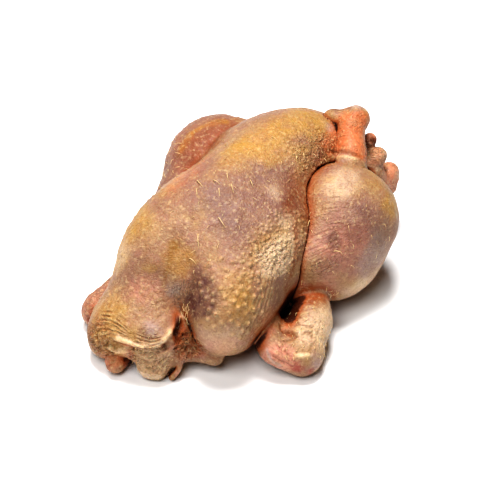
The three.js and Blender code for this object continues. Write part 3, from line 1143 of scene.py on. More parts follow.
@dataclass(frozen=True)
class NearWing(SubAssembly):
    """Wing on the near side, its elbow standing away on the surface."""

    seam: float = 2.5
    upper_arm: Limb = Limb(0, ((46, -48, 25), (59.5, -62.5, 19), (75.5, -54.5, 12)), (9, 9.5, 10.5))
    elbow: Egg = Egg(7, (77.5, -51, 12), (11, 11.5, 10.5))
    forearm: Limb = Limb(
        7,
        ((75.5, -49, 13.5), (67.5, -27.5, 20), (56.5, -2.5, 23.5), (50.5, 28, 20)),
        (11.5, 14.5, 9.5, 9),
    )
    web: Egg = Egg(8, (64, -44, 13), (14, 16, 12))
    floor_of_gap: Egg = Egg(6, (49, -30, 4), (16, 26, 8))
    tints: tuple[Feature, ...] = (
        Patch(Tint.PALE, 0.75, (78, -36, 24), (16, 26, 18), core=0.5),
        Patch(Tint.FAT, 0.35, (84, -44, 18), (8, 16, 12)),
        Patch(Tint.PINK, 0.95, (68, -67, 19), (17, 12, 13), core=0.6),
        # Painted shade on the top of the wing, under the near leg.
        Patch(Tint.TUCKED, 0.9, (64, -20, 33), (16, 9, 9), core=0.5),
        Patch(Tint.RAW, 0.5, (60, -44, 27), (5, 14, 8)),
        Patch(Tint.BLOOD, 0.85, (80, -65, 14), (8, 5, 5)),
        Streak(Tint.PALE, 0.9, 2.0, ((74, -62, 20), (79, -60, 20), (84, -56, 20))),
        Patch(Tint.BLOOD, 0.5, (88, -60, 9), (5, 5, 6)),
        Patch(Tint.GRISTLE, 0.7, (88, -54, 15), (7, 8, 9)),
        Streak(Tint.GRISTLE, 0.8, 2.4, ((60, -72, 25), (63, -74, 20), (70, -72, 15))),
        Patch(Tint.BRUISE, 0.45, (59, -58, 24), (4, 6, 5)),
    )
    relief: tuple[Feature, ...] = (
        Gathers(
            0.9,
            9,
            ((56, -30, 30), (64, -27, 33), (72, -22, 33)),
            ((60, -56, 26), (68, -54, 26), (76, -50, 25)),
            wander=0.8,
            shade=0.6,
        ),
        Gathers(
            0.6,
            5,
            ((60, -60, 25), (70, -60, 24), (78, -60, 20)),
            ((62, -74, 19), (72, -71, 15), (80, -67, 11)),
            shade=0.5,
        ),
        Rough(0.45, 2.4, (74, -44, 22), (20, 28, 16), shade=0.2),
        Fold(-1.6, 1.8, ((54, -50, 25), (60, -52, 27), (66, -51, 27), (72, -52, 26))),
        Fold(1.2, 1.8, ((74, -62, 20), (79, -60, 20), (84, -56, 20))),
    )
    hairs: tuple[Feature, ...] = (
        Stubs(5.0, (1.5, 3.0), 0.2, (0.4, -1, -0.6), (74, -44, 22), (20, 28, 16), seed=21),
    )


@dataclass(frozen=True)
class FarWing(SubAssembly):
    """Wing on the far side, folded flat along the body."""

    seam: float = 3.5
    upper_arm: Limb = Limb(
        0, ((-38, -54.5, 30.5), (-51, -72, 18.5), (-63.5, -86, 12)), (14.5, 13, 11)
    )
    forearm: Limb = Limb(
        7, ((-63.5, -86, 11.5), (-62, -54.5, 14.5), (-65, -8, 20)), (10.5, 11.5, 9)
    )
    tints: tuple[Feature, ...] = (
        Patch(Tint.PINK, 0.75, (-64, -88, 18), (16, 22, 16), core=0.7),
        Patch(Tint.PALE, 0.6, (-64, -88, 24), (10, 16, 8)),
        Patch(Tint.RAW, 0.5, (-60, -92, 16), (9, 10, 10)),
        Patch(Tint.BRUISE, 0.5, (-74, -90, 14), (6, 12, 10)),
        Patch(Tint.BLOOD, 0.9, (-61, -98, 12), (5, 5, 4)),
    )
    relief: tuple[Feature, ...] = (
        Rough(0.4, 2.4, (-64, -80, 18), (18, 28, 16)),
        Fold(-1.4, 1.8, ((-66, -97, 14), (-61, -98, 12), (-56, -97, 12))),
    )


@dataclass(frozen=True)
class Tail(SubAssembly):
    """Rump and parson's nose."""

    seam: float = 5.0
    rump: Limb = Limb(
        0, ((5.5, 89.5, 41.5), (18, 107.5, 32.5), (30.5, 114.5, 30.5)), (23.5, 18, 12.5)
    )
    lobe: Egg = Egg(5.5, (45.5, 113, 33), (9.5, 10, 11.5), (0, 20, 0))
    crown: Egg = Egg(5, (47.5, 113, 43.5), (8, 10, 8))
    tongue: Limb = Limb(2.5, ((38, 98, 56.5), (43, 99.5, 50), (47, 102.5, 42)), (6.5, 8, 7))
    tip: Egg = Egg(3.5, (34, 122, 38), (7, 7, 8))
    tints: tuple[Feature, ...] = (
        Patch(Tint.RAW, 0.6, (44, 110, 40), (20, 20, 24), core=0.6),
        Patch(Tint.PALE, 0.8, (50, 108, 46), (12, 14, 16)),
        Patch(Tint.PINK, 0.8, (50, 108, 44), (8, 12, 14)),
        Patch(Tint.PALE, 0.9, (42, 100, 52), (8, 8, 10), core=0.6),
        Patch(Tint.BLOOD, 0.8, (50, 106, 56), (4, 5, 3.5)),
        Patch(Tint.BRUISE, 0.75, (47, 106, 40), (4, 5, 8)),
        # Painted crease shade left off on the parson's nose.
        NoPaintedShade(1.0, (46, 108, 44), (18, 18, 24), core=0.75),
    )
    relief: tuple[Feature, ...] = (
        Rough(0.4, 2.4, (42, 112, 38), (18, 18, 20)),
        Fold(-1.2, 1.5, ((46, 104, 54), (47.5, 106, 46), (46, 107, 38))),
    )


class Bird:
    """All regions of the bird as one body."""

    PART = 16_000
    PROBE = 0.3
    LEAST_STEEPNESS = 0.25
    MOST_MOVE = 1.5

    def __init__(self) -> None:
        """Puts the regions together in the order they are joined."""
        self.regions: list[SubAssembly] = [
            Trunk(),
            NeckSkin(),
            NearLeg(),
            NearShank(),
            FarLeg(),
            NearWing(),
            FarWing(),
            Tail(),
        ]

    def distance(self, points: Array) -> Array:
        """Distance from points to the skin, worked out in parts side by side.

        Args:
            points: one row for each point, mm.

        Returns:
            One distance for each point, mm.
        """
        parts = np.array_split(points.astype(np.float32), len(points) // self.PART + 1)
        with ThreadPoolExecutor() as pool:
            return np.concatenate(list(pool.map(self.part_distance, parts)))

    def part_distance(self, points: Array) -> Array:
        """Distance from points to the skin; what would sink below the floor is pressed flat.

        Args:
            points: one row for each point of one part, mm.

        Returns:
            One distance for each point, mm.
        """
        distance = self.regions[0].distance(points)
        for region in self.regions[1:]:
            own = region.distance(points)
            distance = join(region.part_from(distance, own), own, region.seam_at(points))
        return np.maximum(distance, -points[:, 2])

    def slope(self, points: Array) -> Array:
        """Direction away from the body at points, not brought to length one.

        Args:
            points: one row for each point, mm.

        Returns:
            One row of X, Y and Z for each point.
        """
        steps = np.eye(3, dtype=np.float32) * self.PROBE
        sides = [self.distance(points + s) - self.distance(points - s) for s in steps]
        return np.column_stack(sides) / (2 * self.PROBE)

    def settle(self, points: Array, rounds: int = 2) -> Array:
        """Draws points along the slope of the distance until they lie on the skin.

        Args:
            points: one row for each point, mm.
            rounds: how often each point is moved.

        Returns:
            The moved points.
        """
        for _ in range(rounds):
            slope = self.slope(points)
            steepness = np.maximum((slope**2).sum(axis=1), self.LEAST_STEEPNESS)
            move = np.clip(self.distance(points) / steepness, -self.MOST_MOVE, self.MOST_MOVE)
            points = points - slope * move[:, None]
        points[:, 2] = np.maximum(points[:, 2], 0)
        return points


# --------------------------------------------------------------------------------------------
# From distances to a closed skin
# --------------------------------------------------------------------------------------------


class SkinNet:
    """Closed surface where a distance is zero: one point per sheet in every crossed cell."""

    CORNERS = np.array([[c & 1, c >> 1 & 1, c >> 2 & 1] for c in range(8)])
    EDGES = [(a, c, c | 1 << a) for a in range(3) for c in range(8) if not c >> a & 1]
    BLOCK = 4
    EXACT_REACH = 1.6

    def __init__(self, bird: Bird, cell: float, low: Point, high: Point) -> None:
        """Sets the field up.

        Args:
            bird: what gives the distances.
            cell: side of a cell, mm.
            low: lowest corner of the space that the skin can lie in, mm.
            high: highest corner of it, mm.
        """
        self.bird = bird
        self.cell = cell
        self.low = np.array(low, float)
        self.counts = np.ceil((np.array(high) - self.low) / cell).astype(int) + 1
        self.sheets = np.array([self.sheets_of(pattern) for pattern in range(256)])

    @classmethod
    def edge_between(cls, first: int, second: int) -> int:
        """Number of the cell edge that runs between two corners."""
        ends = (min(first, second), max(first, second))
        return next(i for i, edge in enumerate(cls.EDGES) if edge[1:] == ends)

    @classmethod
    def sheets_of(cls, pattern: int) -> list[int]:
        """Sheets of skin that cross a cell, for one pattern of inside corners.

        Args:
            pattern: a bit for each corner, set where the corner is inside.

        Returns:
            For each edge the number of its sheet, or -1 where the edge isn't crossed.
        """
        inside = [bool(pattern >> c & 1) for c in range(8)]
        sheet = [i if inside[e[1]] != inside[e[2]] else -1 for i, e in enumerate(cls.EDGES)]

        def merge(first: int, second: int) -> None:
            """Gives two crossed edges and all that belong to them one sheet."""
            keep, drop = sheet[first], sheet[second]
            sheet[:] = [keep if value == drop else value for value in sheet]

        for axis in range(3):
            u, v = 1 << (axis + 1) % 3, 1 << (axis + 2) % 3
            for base in (0, 1 << axis):
                ring = [base, base | u, base | u | v, base | v]
                sides = [cls.edge_between(ring[i], ring[(i + 1) % 4]) for i in range(4)]
                crossed = [side for side in sides if sheet[side] >= 0]
                if len(crossed) == 2:
                    merge(*crossed)
                elif len(crossed) == 4:
                    for i in range(4):
                        if inside[ring[i]]:
                            merge(sides[i - 1], sides[i])
        names = list(dict.fromkeys(value for value in sheet if value >= 0))
        return [names.index(value) if value >= 0 else -1 for value in sheet]

    def measure(self) -> Array:
        """Distances at the grid's corners, exact near the skin and rough elsewhere.

        Returns:
            One value for each corner of the grid.
        """
        block = self.BLOCK
        side = block * self.cell
        blocks = -(-self.counts // block)
        index = np.indices(blocks).reshape(3, -1).T
        middle = self.low + (index + 0.5) * side
        rough = self.bird.distance(middle)
        values = np.kron(rough.reshape(blocks), np.ones((block,) * 3, np.float32))
        near = index[np.abs(rough) < self.EXACT_REACH * side]
        inner = np.indices((block,) * 3).reshape(3, -1).T
        corners = (near[:, None] * block + inner[None]).reshape(-1, 3)
        values[tuple(corners.T)] = self.bird.distance(self.low + corners * self.cell)
        return values[tuple(slice(0, count) for count in self.counts)]

    def build(self) -> tuple[Array, Array]:
        """Works the skin out.

        Returns:
            The points in mm and the quads as rows of four point numbers.
        """
        values = self.measure()
        inside = values < 0
        nx, ny, nz = self.counts - 1
        pattern = np.zeros((nx, ny, nz), np.uint8)
        for bit, (i, j, k) in enumerate(self.CORNERS):
            pattern |= inside[i : nx + i, j : ny + j, k : nz + k].astype(np.uint8) << bit
        cells = np.argwhere((pattern > 0) & (pattern < 255))
        sheets = self.sheets[pattern[tuple(cells.T)]]
        numbers = sheets.max(axis=1) + 1
        first = np.concatenate([[0], np.cumsum(numbers)])
        total = np.zeros((first[-1], 3))
        crossings = np.zeros(first[-1])
        for edge, (axis, start, end) in enumerate(self.EDGES):
            has = sheets[:, edge] >= 0
            rows = cells[has]
            before = values[tuple((rows + self.CORNERS[start]).T)]
            after = values[tuple((rows + self.CORNERS[end]).T)]
            crossing = rows + self.CORNERS[start].astype(float)
            crossing[:, axis] += before / (before - after)
            point = first[:-1][has] + sheets[has, edge]
            total[point] += crossing
            crossings[point] += 1
        points = total / crossings[:, None] * self.cell + self.low
        number_of = np.full(pattern.shape, -1)
        number_of[tuple(cells.T)] = np.arange(len(cells))
        quads = [self.quads_along(axis, inside, number_of, first, sheets) for axis in range(3)]
        return self.bird.settle(points), np.vstack(quads)

    def quads_along(
        self, axis: int, inside: Array, number_of: Array, first: Array, sheets: Array
    ) -> Array:
        """Quads across the crossed grid edges that run along one axis.

        Args:
            axis: 0, 1 or 2.
            inside: True at grid corners inside the body.
            number_of: for each cell its number among the crossed cells, or -1.
            first: for each crossed cell the number of its first point.
            sheets: for each crossed cell the sheet of each edge.

        Returns:
            Rows of four point numbers, facing out.
        """
        u, v = (axis + 1) % 3, (axis + 2) % 3
        lower, upper = [slice(1, -1)] * 3, [slice(1, -1)] * 3
        lower[axis], upper[axis] = slice(0, -1), slice(1, None)
        starts_in, ends_in = inside[tuple(lower)], inside[tuple(upper)]
        base = np.argwhere(starts_in != ends_in)
        outward = starts_in[tuple(base.T)]
        base = base + np.array([0 if a == axis else 1 for a in range(3)])
        ring = []
        for du, dv in ((1, 1), (0, 1), (0, 0), (1, 0)):
            cell = base.copy()
            cell[:, u] -= du
            cell[:, v] -= dv
            number = number_of[tuple(cell.T)]
            corner = du << u | dv << v
            edge = self.edge_between(corner, corner | 1 << axis)
            ring.append(first[number] + sheets[number, edge])
        quads = np.column_stack(ring)
        quads[~outward] = quads[~outward][:, ::-1]
        return quads


# --------------------------------------------------------------------------------------------
# The skin and what grows on it
# --------------------------------------------------------------------------------------------


@dataclass(frozen=True)
class Wave:
    """Soft wave of the skin: its length, its height and where it is read, all in mm."""

    length: float
    height: float
    shift: float


@dataclass(frozen=True)
class Slack:
    """Waves all over a skin that hangs loose."""

    long: Wave = Wave(24.0, 0.7, 0.0)
    middle: Wave = Wave(10.0, 0.5, 30.0)
    short: Wave = Wave(4.0, 0.22, 60.0)


@dataclass(frozen=True)
class Strand:
    """One hair: rows of points along it and its radius at the root, mm."""

    kind: HairKind
    path: Array
    radius: float


class Skin:
    """The bird's skin: its points, how far each is lifted and what colours it."""

    FLOOR_FADE = 4.0
    TRIES = 8.0
    ROOT_DEPTH = 0.8
    NEAR_PROBE = 5.0
    FAR_PROBE = 16.0
    GRAIN_SEED = 7
    EDGE_FRAY = 0.22
    EDGE_WAVE = 0.6
    EDGE_SHIFT = 70
    LINE_STEPS = 6
    LINE_ROUNDS = 4
    LEAST_COVER = 0.02
    HAIR_STATIONS = 7
    HAIR_SIDES = 5
    HAIR_TIP = 0.35
    HAIR_SIDEWAYS = (0.3, 0.2, 1.0)

    def __init__(self, bird: Bird, points: Array, quads: Array) -> None:
        """Takes the bare skin over.

        Args:
            bird: what gives the distances.
            points: one row for each point, mm.
            quads: one row of point numbers for each face.
        """
        self.bird = bird
        self.points = points
        self.quads = quads
        slope = bird.slope(points)
        length = np.maximum(np.linalg.norm(slope, axis=1), TINY)
        self.normals = slope / length[:, None]
        self.grain = Grain(self.GRAIN_SEED)
        self.lift, self.ridge, self.papule, self.painted_shade_off = np.zeros((4, len(points)))
        self.pleat, self.pleated, self.crumple = np.zeros((3, len(points)))
        self.masks = {tint: np.zeros(len(points)) for tint in Tint}
        self.strands: list[Strand] = []

    def near_to(self, line: Array, reach: float) -> Array:
        """Numbers of the points in a box round a line, with some room round it."""
        low, high = line.min(axis=0) - reach, line.max(axis=0) + reach
        return np.flatnonzero(((self.points > low) & (self.points < high)).all(axis=1))

    def inside(self, zone: Patch | NoPaintedShade | Rough | Tract | Stubs) -> tuple[Array, Array]:
        """Finds the points inside an ellipsoid.

        Args:
            zone: gives the ellipsoid and how large its core is.

        Returns:
            The numbers of the points, and how fully each is covered: one in the core, less
            towards an uneven edge.
        """
        near = self.near_to(np.array([zone.at]), max(zone.radii))
        local = (self.points[near] - np.array(zone.at)) @ turned(zone.turn)
        away = np.linalg.norm(local / np.array(zone.radii), axis=1)
        wave = min(zone.radii) * self.EDGE_WAVE
        away += self.EDGE_FRAY * self.grain.at(self.points[near], wave, self.EDGE_SHIFT)
        cover = 1 - smoothstep(zone.core, 1.0, away)
        return near[cover > 0], cover[cover > 0]

    def line(self, stations: tuple[Point, ...]) -> Array:
        """Smooth curve through stations, drawn onto the bare skin."""
        curve = curve_through(np.array(stations, float), self.LINE_STEPS)
        return self.bird.settle(curve, self.LINE_ROUNDS)

    def scatter(
        self, near: Array, cover: Array, spacing: float, draw: np.random.Generator
    ) -> list[int]:
        """Spreads sites over part of the skin, none nearer to another than the spacing.

        Args:
            near: numbers of the points that may take a site.
            cover: how likely each of them is to take one, from zero to one.
            spacing: least distance between two sites, mm.
            draw: where the random numbers come from.

        Returns:
            The point numbers of the sites.
        """
        wanted = near[cover > draw.uniform(self.LEAST_COVER, 1, len(cover))]
        draw.shuffle(wanted)
        taken: dict[tuple[int, int, int], list[Array]] = {}
        sites = []
        around = [(i, j, k) for i in (-1, 0, 1) for j in (-1, 0, 1) for k in (-1, 0, 1)]
        for site in wanted[: int(len(wanted) * min(1.0, self.TRIES / spacing**2)) + 1]:
            point = self.points[site]
            i, j, k = (int(c // spacing) for c in point)
            close = [q for a, b, c in around for q in taken.get((i + a, j + b, k + c), ())]
            if not close or ((np.array(close) - point) ** 2).sum(axis=1).min() > spacing**2:
                taken.setdefault((i, j, k), []).append(point)
                sites.append(site)
        return sites

    def grow(self, kind: HairKind, root: Array, tip: Array, arch: Array, radius: float) -> None:
        """Adds one hair.

        Args:
            kind: which of the two pieces the hair belongs to.
            root: where it leaves the skin, mm.
            tip: where it ends, mm.
            arch: how far its middle stands off the straight way, mm.
            radius: its radius at the root, mm.
        """
        share = np.linspace(0, 1, self.HAIR_STATIONS)[:, None]
        path = root + (tip - root) * share + arch * (4 * share * (1 - share))
        path[0] -= arch / np.linalg.norm(arch) * self.ROOT_DEPTH
        self.strands.append(Strand(kind, path, radius))

    def dress(self, slack: Slack) -> None:
        """Adds every region's features and the loose skin's waves.

        Args:
            slack: the waves all over the skin.
        """
        for region in self.bird.regions:
            for feature in region.features():
                feature.mark(self)
            LOG.info("%s: %d features", type(region).__name__, len(region.features()))
        for wave in (slack.long, slack.middle, slack.short):
            self.lift += wave.height * self.grain.at(self.points, wave.length, wave.shift)

    def openness(self, probe: float) -> Array:
        """How much room there is over each point: one in the open, zero in a closed crease."""
        gap = self.bird.distance(self.points + self.normals * probe)
        return np.clip(gap / probe, 0, 1)

    def build(self, name: str, most_triangles: int) -> bpy.types.Object:
        """Makes the skin's mesh with its masks as attributes.

        Args:
            name: name of the object.
            most_triangles: how many triangles the mesh may have; flat stretches give way first.

        Returns:
            The skin as one closed mesh object.
        """
        free = smoothstep(0, self.FLOOR_FADE, self.points[:, 2])
        points = self.points + self.normals * (self.lift * free)[:, None]
        points[:, 2] = np.maximum(points[:, 2], 0)
        made = new_mesh_object(name, points, self.quads)
        masks = {tint.value: mask for tint, mask in self.masks.items()}
        masks["ridge"] = np.clip(self.ridge, -1, 1)
        masks["papule"] = self.papule
        masks["pleat"] = self.pleat
        masks["pleated"] = self.pleated
        masks["crumple"] = np.clip(self.crumple, 0, 1)
        # Painted shade: these two masks darken the colour where the skin is closed over, in creases
        # and valleys.
        masks["crease"] = (1 - self.openness(self.NEAR_PROBE)) * (1 - self.painted_shade_off)
        masks["valley"] = (1 - self.openness(self.FAR_PROBE)) * (1 - self.painted_shade_off)
        for mask_name, values in masks.items():
            layer = made.data.attributes.new(mask_name, "FLOAT", "POINT")
            layer.data.foreach_set("value", values.astype(np.float32))
        thin = made.modifiers.new("thin", "DECIMATE")
        thin.ratio = min(1.0, most_triangles / (2 * len(self.quads)))
        replace_by_evaluated(made)
        return made

    def build_hairs(self, kind: HairKind) -> bpy.types.Object:
        """Makes all hairs of one kind as one mesh of tapering, closed tubes.

        Args:
            kind: which hairs.

        Returns:
            The hairs as one object.
        """
        sides = self.HAIR_SIDES
        turns = np.arange(sides) / sides * 2 * math.pi
        points, faces = [], []
        for strand in [s for s in self.strands if s.kind is kind]:
            first = sides * len(points)
            along = np.gradient(strand.path, axis=0)
            along /= np.linalg.norm(along, axis=1)[:, None]
            across = np.cross(along, self.HAIR_SIDEWAYS)
            across /= np.maximum(np.linalg.norm(across, axis=1), TINY)[:, None]
            upright = np.cross(along, across)
            taper = strand.radius * np.linspace(1, self.HAIR_TIP, len(strand.path))
            for place, side, top, radius in zip(strand.path, across, upright, taper):
                ring = np.outer(np.cos(turns), side) + np.outer(np.sin(turns), top)
                points.append(place + ring * radius)
            rings = len(strand.path)
            for ring in range(rings - 1):
                for n in range(sides):
                    low, high = first + ring * sides, first + (ring + 1) * sides
                    m = (n + 1) % sides
                    faces.append([low + n, high + n, high + m, low + m])
            faces.append([first + n for n in range(sides)])
            faces.append([first + (rings - 1) * sides + n for n in reversed(range(sides))])
        return new_mesh_object(kind.value, np.vstack(points), faces)


# --------------------------------------------------------------------------------------------
# Finishes
# --------------------------------------------------------------------------------------------


def node(
    tree: bpy.types.NodeTree,
    kind: str,
    settings: dict[str | int, object] | None = None,
    links: dict[str | int, bpy.types.NodeSocket] | None = None,
) -> bpy.types.Node:
    """Adds a node with its settings and links.

    Args:
        tree: the tree that gets the node.
        kind: the node's type name.
        settings: properties by name, or input values by name or number.
        links: sockets that feed its inputs, by name or number.

    Returns:
        The new node.
    """
    made = tree.nodes.new(kind)
    for key, value in (settings or {}).items():
        if isinstance(key, str) and hasattr(made, key):
            setattr(made, key, value)
        else:
            made.inputs[key].default_value = value
    for key, socket in (links or {}).items():
        tree.links.new(socket, made.inputs[key])
    return made


class Finish:
    """Material of one surface, built from nodes."""

    def __init__(self, name: str) -> None:
        """Makes an empty material with its shader.

        Args:
            name: what the surface really is.
        """
        self.material = bpy.data.materials.new(name)
        self.material.use_nodes = True
        self.tree = self.material.node_tree
        self.shader = self.tree.nodes["Principled BSDF"]
        self.place = node(self.tree, "ShaderNodeTexCoord").outputs["Object"]

    def noise(
        self, size: float, detail: float, seed: float, place: bpy.types.NodeSocket | None = None
    ) -> bpy.types.NodeSocket:
        """Cloudy pattern from zero to one with clouds of a real size in mm.

        Args:
            size: distance between two clouds, mm.
            detail: how many finer octaves it has.
            seed: which of many such patterns it is.
            place: coordinates other than the object's own.

        Returns:
            The pattern's socket.
        """
        settings = {"noise_dimensions": "4D", "Scale": 1 / (size * MM), "Detail": detail, "W": seed}
        links = {"Vector": self.place if place is None else place}
        return node(self.tree, "ShaderNodeTexNoise", settings, links).outputs["Fac"]

    def math(
        self, operation: str, first: object, second: object = 0.0, third: object = 0.0
    ) -> bpy.types.NodeSocket:
        """Result of an arithmetic step on sockets or numbers, cut to zero to one.

        Args:
            operation: name of the arithmetic step.
            first: first value.
            second: second value.
            third: third value.

        Returns:
            The result's socket.
        """
        settings: dict[str | int, object] = {"operation": operation, "use_clamp": True}
        links = {}
        for number, value in enumerate((first, second, third)):
            if isinstance(value, bpy.types.NodeSocket):
                links[number] = value
            else:
                settings[number] = value
        return node(self.tree, "ShaderNodeMath", settings, links).outputs[0]

    def mixed(
        self, share: object, first: object, second: object, blend: str = "MIX"
    ) -> bpy.types.NodeSocket:
        """Colour between two colours.

        Args:
            share: how much of the second, a socket or number.
            first: colour socket, or hex colour.
            second: colour socket, or hex colour.
            blend: how the second acts on the first.

        Returns:
            The mixed colour's socket.
        """
        settings: dict[str | int, object] = {"data_type": "RGBA", "blend_type": blend}
        links = {}
        for number, value in ((0, share), (6, first), (7, second)):
            if isinstance(value, bpy.types.NodeSocket):
                links[number] = value
            else:
                settings[number] = linear(value) if isinstance(value, str) else value
        return node(self.tree, "ShaderNodeMix", settings, links).outputs[2]

    def mask(self, name: str) -> bpy.types.NodeSocket:
        """Value of a mask of the mesh."""
        return node(self.tree, "ShaderNodeAttribute", {"attribute_name": name}).outputs["Fac"]


@dataclass(frozen=True)
class Mottle:
    """Clouds of one shade, from a level where they begin to one where they are at their most."""

    size: float
    detail: float
    seed: float
    low: float
    high: float
    most: float
    shade: str


class RawSkin(Finish):
    """Raw chicken skin: thin, moist and half clear, so fat, flesh and bruises show through."""

    LIGHT = "#A6835F"
    DARK = "#94705A"
    ROSY = "#9A7061"
    GOLDEN = "#A9854E"
    SHADES = {
        Tint.FLESH: "#8A685C",
        Tint.FAT: "#B48A42",
        Tint.PALE: "#D8BEA0",
        Tint.PINK: "#C78A76",
        Tint.RAW: "#CE784C",
        Tint.BRUISE: "#5F3C36",
        Tint.CHILL: "#8B8277",
        Tint.STAIN: "#8E6220",
        Tint.GRISTLE: "#B29A92",
        Tint.BLOOD: "#9A2C24",
        # Painted shade colours for the folds beside the legs and for the neck pocket.
        Tint.TUCKED: "#85400F",
        Tint.MURKY: "#3E1A0A",
    }
    # Painted highlight on raised relief and painted shade in sunken relief.
    RIDGE_HIGHLIGHT = "#E6C795"
    FURROW_SHADE = "#84481F"
    PAPULE = "#D9BE90"
    SPECK = "#74492D"
    WARM_SHADE = "#964715"
    DEEP_SHADE = "#2C0E05"
    MOTTLES = (
        Mottle(26, 3, 1, 0.35, 0.65, 1.0, DARK),
        Mottle(9, 4, 2, 0.42, 0.7, 0.7, ROSY),
        Mottle(14, 4, 3, 0.5, 0.72, 0.6, GOLDEN),
    )
    SPECKS = (
        Mottle(1.5, 4, 4, 0.45, 0.75, 0.5, SPECK),
        Mottle(2.4, 4, 9, 0.5, 0.75, 0.4, PAPULE),
    )
    # Painted shade in creases and valleys: mask, where the rise begins, where it ends, what it
    # rises to, and the shade colour.
    PAINTED_CREASE_SHADES = (
        ("valley", 0.2, 0.9, 0.9, WARM_SHADE),
        ("valley", 0.72, 0.95, 0.9, DEEP_SHADE),
        ("crease", 0.6, 1.0, 0.8, DEEP_SHADE),
    )
    TINT_CLOUD = 7.0
    TINT_DETAIL = 5
    TINT_SEED = 10
    TINT_GAIN = 1.7
    TINT_CUT = -0.02
    RIDGE_HIGHLIGHT_SHARE = 0.5
    FURROW_SHADE_SHARE = 0.75
    PAPULE_SHARE = 0.34
    FOLLICLE = (0.8, 1.1, 0.6)
    CREST_HIGHLIGHT_FROM = 0.45
    DIP_SHADE_FROM = 0.4
    CREASE_SIZE = 2.6
    CREASE_LENGTH = 2.8
    CREASE_TURN = 0.55
    CREASE_SETS = ((0.55, 20.0), (-0.45, 21.0))
    CREASE_EDGE = 0.12
    # Thin skin lets warm light through for a few mm, so that it looks soft and not painted.
    SCATTER_SHARE = 0.25
    SCATTER_REACH = (1.0, 0.4, 0.2)
    SCATTER_DEPTH = 3.0
    IOR = 1.42
    # Moist but wiped: a broad dull shine with a trace of a water film over it.
    GLOSS = 0.32
    FILM = 0.06
    FILM_ROUGHNESS = 0.3
    ROUGHNESS_SPREAD = 0.3
    ROUGHNESS = 0.36
    # Creping and pores break the shine up; without them the skin looks like wax.
    CREPE_SIZE = 2.2
    CREPE_EDGE = 0.3
    CREPE_SHARE = 0.45
    PORE_SIZE = 0.8
    PORE_SHARE = 0.5
    FINE_STRENGTH = 0.8
    FINE_DEPTH = 0.5
    FOLD_DEPTH = 1.3

    def __init__(self) -> None:
        """Builds the nodes, from the broad colours to the finest relief."""
        super().__init__("raw chicken skin")
        colour = self.mottled(self.LIGHT, self.MOTTLES)
        for number, (tint, shade) in enumerate(self.SHADES.items()):
            cloud = self.noise(self.TINT_CLOUD, self.TINT_DETAIL, self.TINT_SEED + number)
            ragged = self.math("MULTIPLY_ADD", cloud, self.TINT_GAIN, self.TINT_CUT)
            share = self.math("MULTIPLY", ragged, self.mask(tint.value))
            colour = self.mixed(share, colour, shade)
        # Painted highlight on raised folds and painted shade in sunken ones, by the relief's own
        # mask; the centres of the largest follicles take the furrow shade too.
        ridge, papule = self.mask("ridge"), self.mask("papule")
        for mask, share, shade in (
            (ridge, self.RIDGE_HIGHLIGHT_SHARE, self.RIDGE_HIGHLIGHT),
            (ridge, -self.FURROW_SHADE_SHARE, self.FURROW_SHADE),
            (papule, self.PAPULE_SHARE, self.PAPULE),
        ):
            colour = self.mixed(self.math("MULTIPLY", mask, share), colour, shade)
        colour = self.mixed(self.patchy(papule, *self.FOLLICLE), colour, self.FURROW_SHADE)
        self.pleats = self.math("PINGPONG", self.mask("pleat"), 1.0)
        self.creases = self.crossing_creases()
        # Painted highlight on the crests of pleats and crumples, and painted shade in their dips.
        for mask, profile, light, dark in (
            ("pleated", self.pleats, 0.45, 0.8),
            ("crumple", self.creases, 0.35, 0.5),
        ):
            high = self.patchy(profile, self.CREST_HIGHLIGHT_FROM, 1.0, light)
            low = self.patchy(profile, self.DIP_SHADE_FROM, 0.0, dark)
            crest_highlight = self.math("MULTIPLY", high, self.mask(mask))
            dip_shade = self.math("MULTIPLY", low, self.mask(mask))
            colour = self.mixed(crest_highlight, colour, self.RIDGE_HIGHLIGHT)
            colour = self.mixed(dip_shade, colour, self.FURROW_SHADE)
        colour = self.mottled(colour, self.SPECKS)
        # Painted shade in creases and valleys.
        for mask, low, high, most, shade in self.PAINTED_CREASE_SHADES:
            colour = self.mixed(self.patchy(self.mask(mask), low, high, most), colour, shade)
        self.tree.links.new(colour, self.shader.inputs["Base Color"])
        self.moisten()
        self.wrinkle()

    def mottled(self, colour: object, mottles: tuple[Mottle, ...]) -> bpy.types.NodeSocket:
        """Lays clouds of other shades over a colour.

        Args:
            colour: colour socket, or hex colour.
            mottles: the clouds, in the order they are laid on.

        Returns:
            The mottled colour's socket.
        """
        for mottle in mottles:
            cloud = self.noise(mottle.size, mottle.detail, mottle.seed)
            share = self.patchy(cloud, mottle.low, mottle.high, mottle.most)
            colour = self.mixed(share, colour, mottle.shade)
        return colour

    def crossing_creases(self) -> bpy.types.NodeSocket:
        """Short creases that cross each other.

        Returns:
            Socket of a pattern that is low in a crease and one between creases.
        """
        valleys = []
        for tilt, seed in self.CREASE_SETS:
            stretch = {
                "vector_type": "TEXTURE",
                "Rotation": (0.0, tilt, self.CREASE_TURN),
                "Scale": (self.CREASE_LENGTH, 1.0, 1.0),
            }
            place = node(self.tree, "ShaderNodeMapping", stretch, {"Vector": self.place})
            cloud = self.noise(self.CREASE_SIZE, 2, seed, place.outputs[0])
            valleys.append(self.math("PINGPONG", cloud, 0.5))
        both = self.math("MINIMUM", *[self.math("SUBTRACT", 0.5, value) for value in valleys])
        return self.patchy(both, 0.0, self.CREASE_EDGE, 1.0)

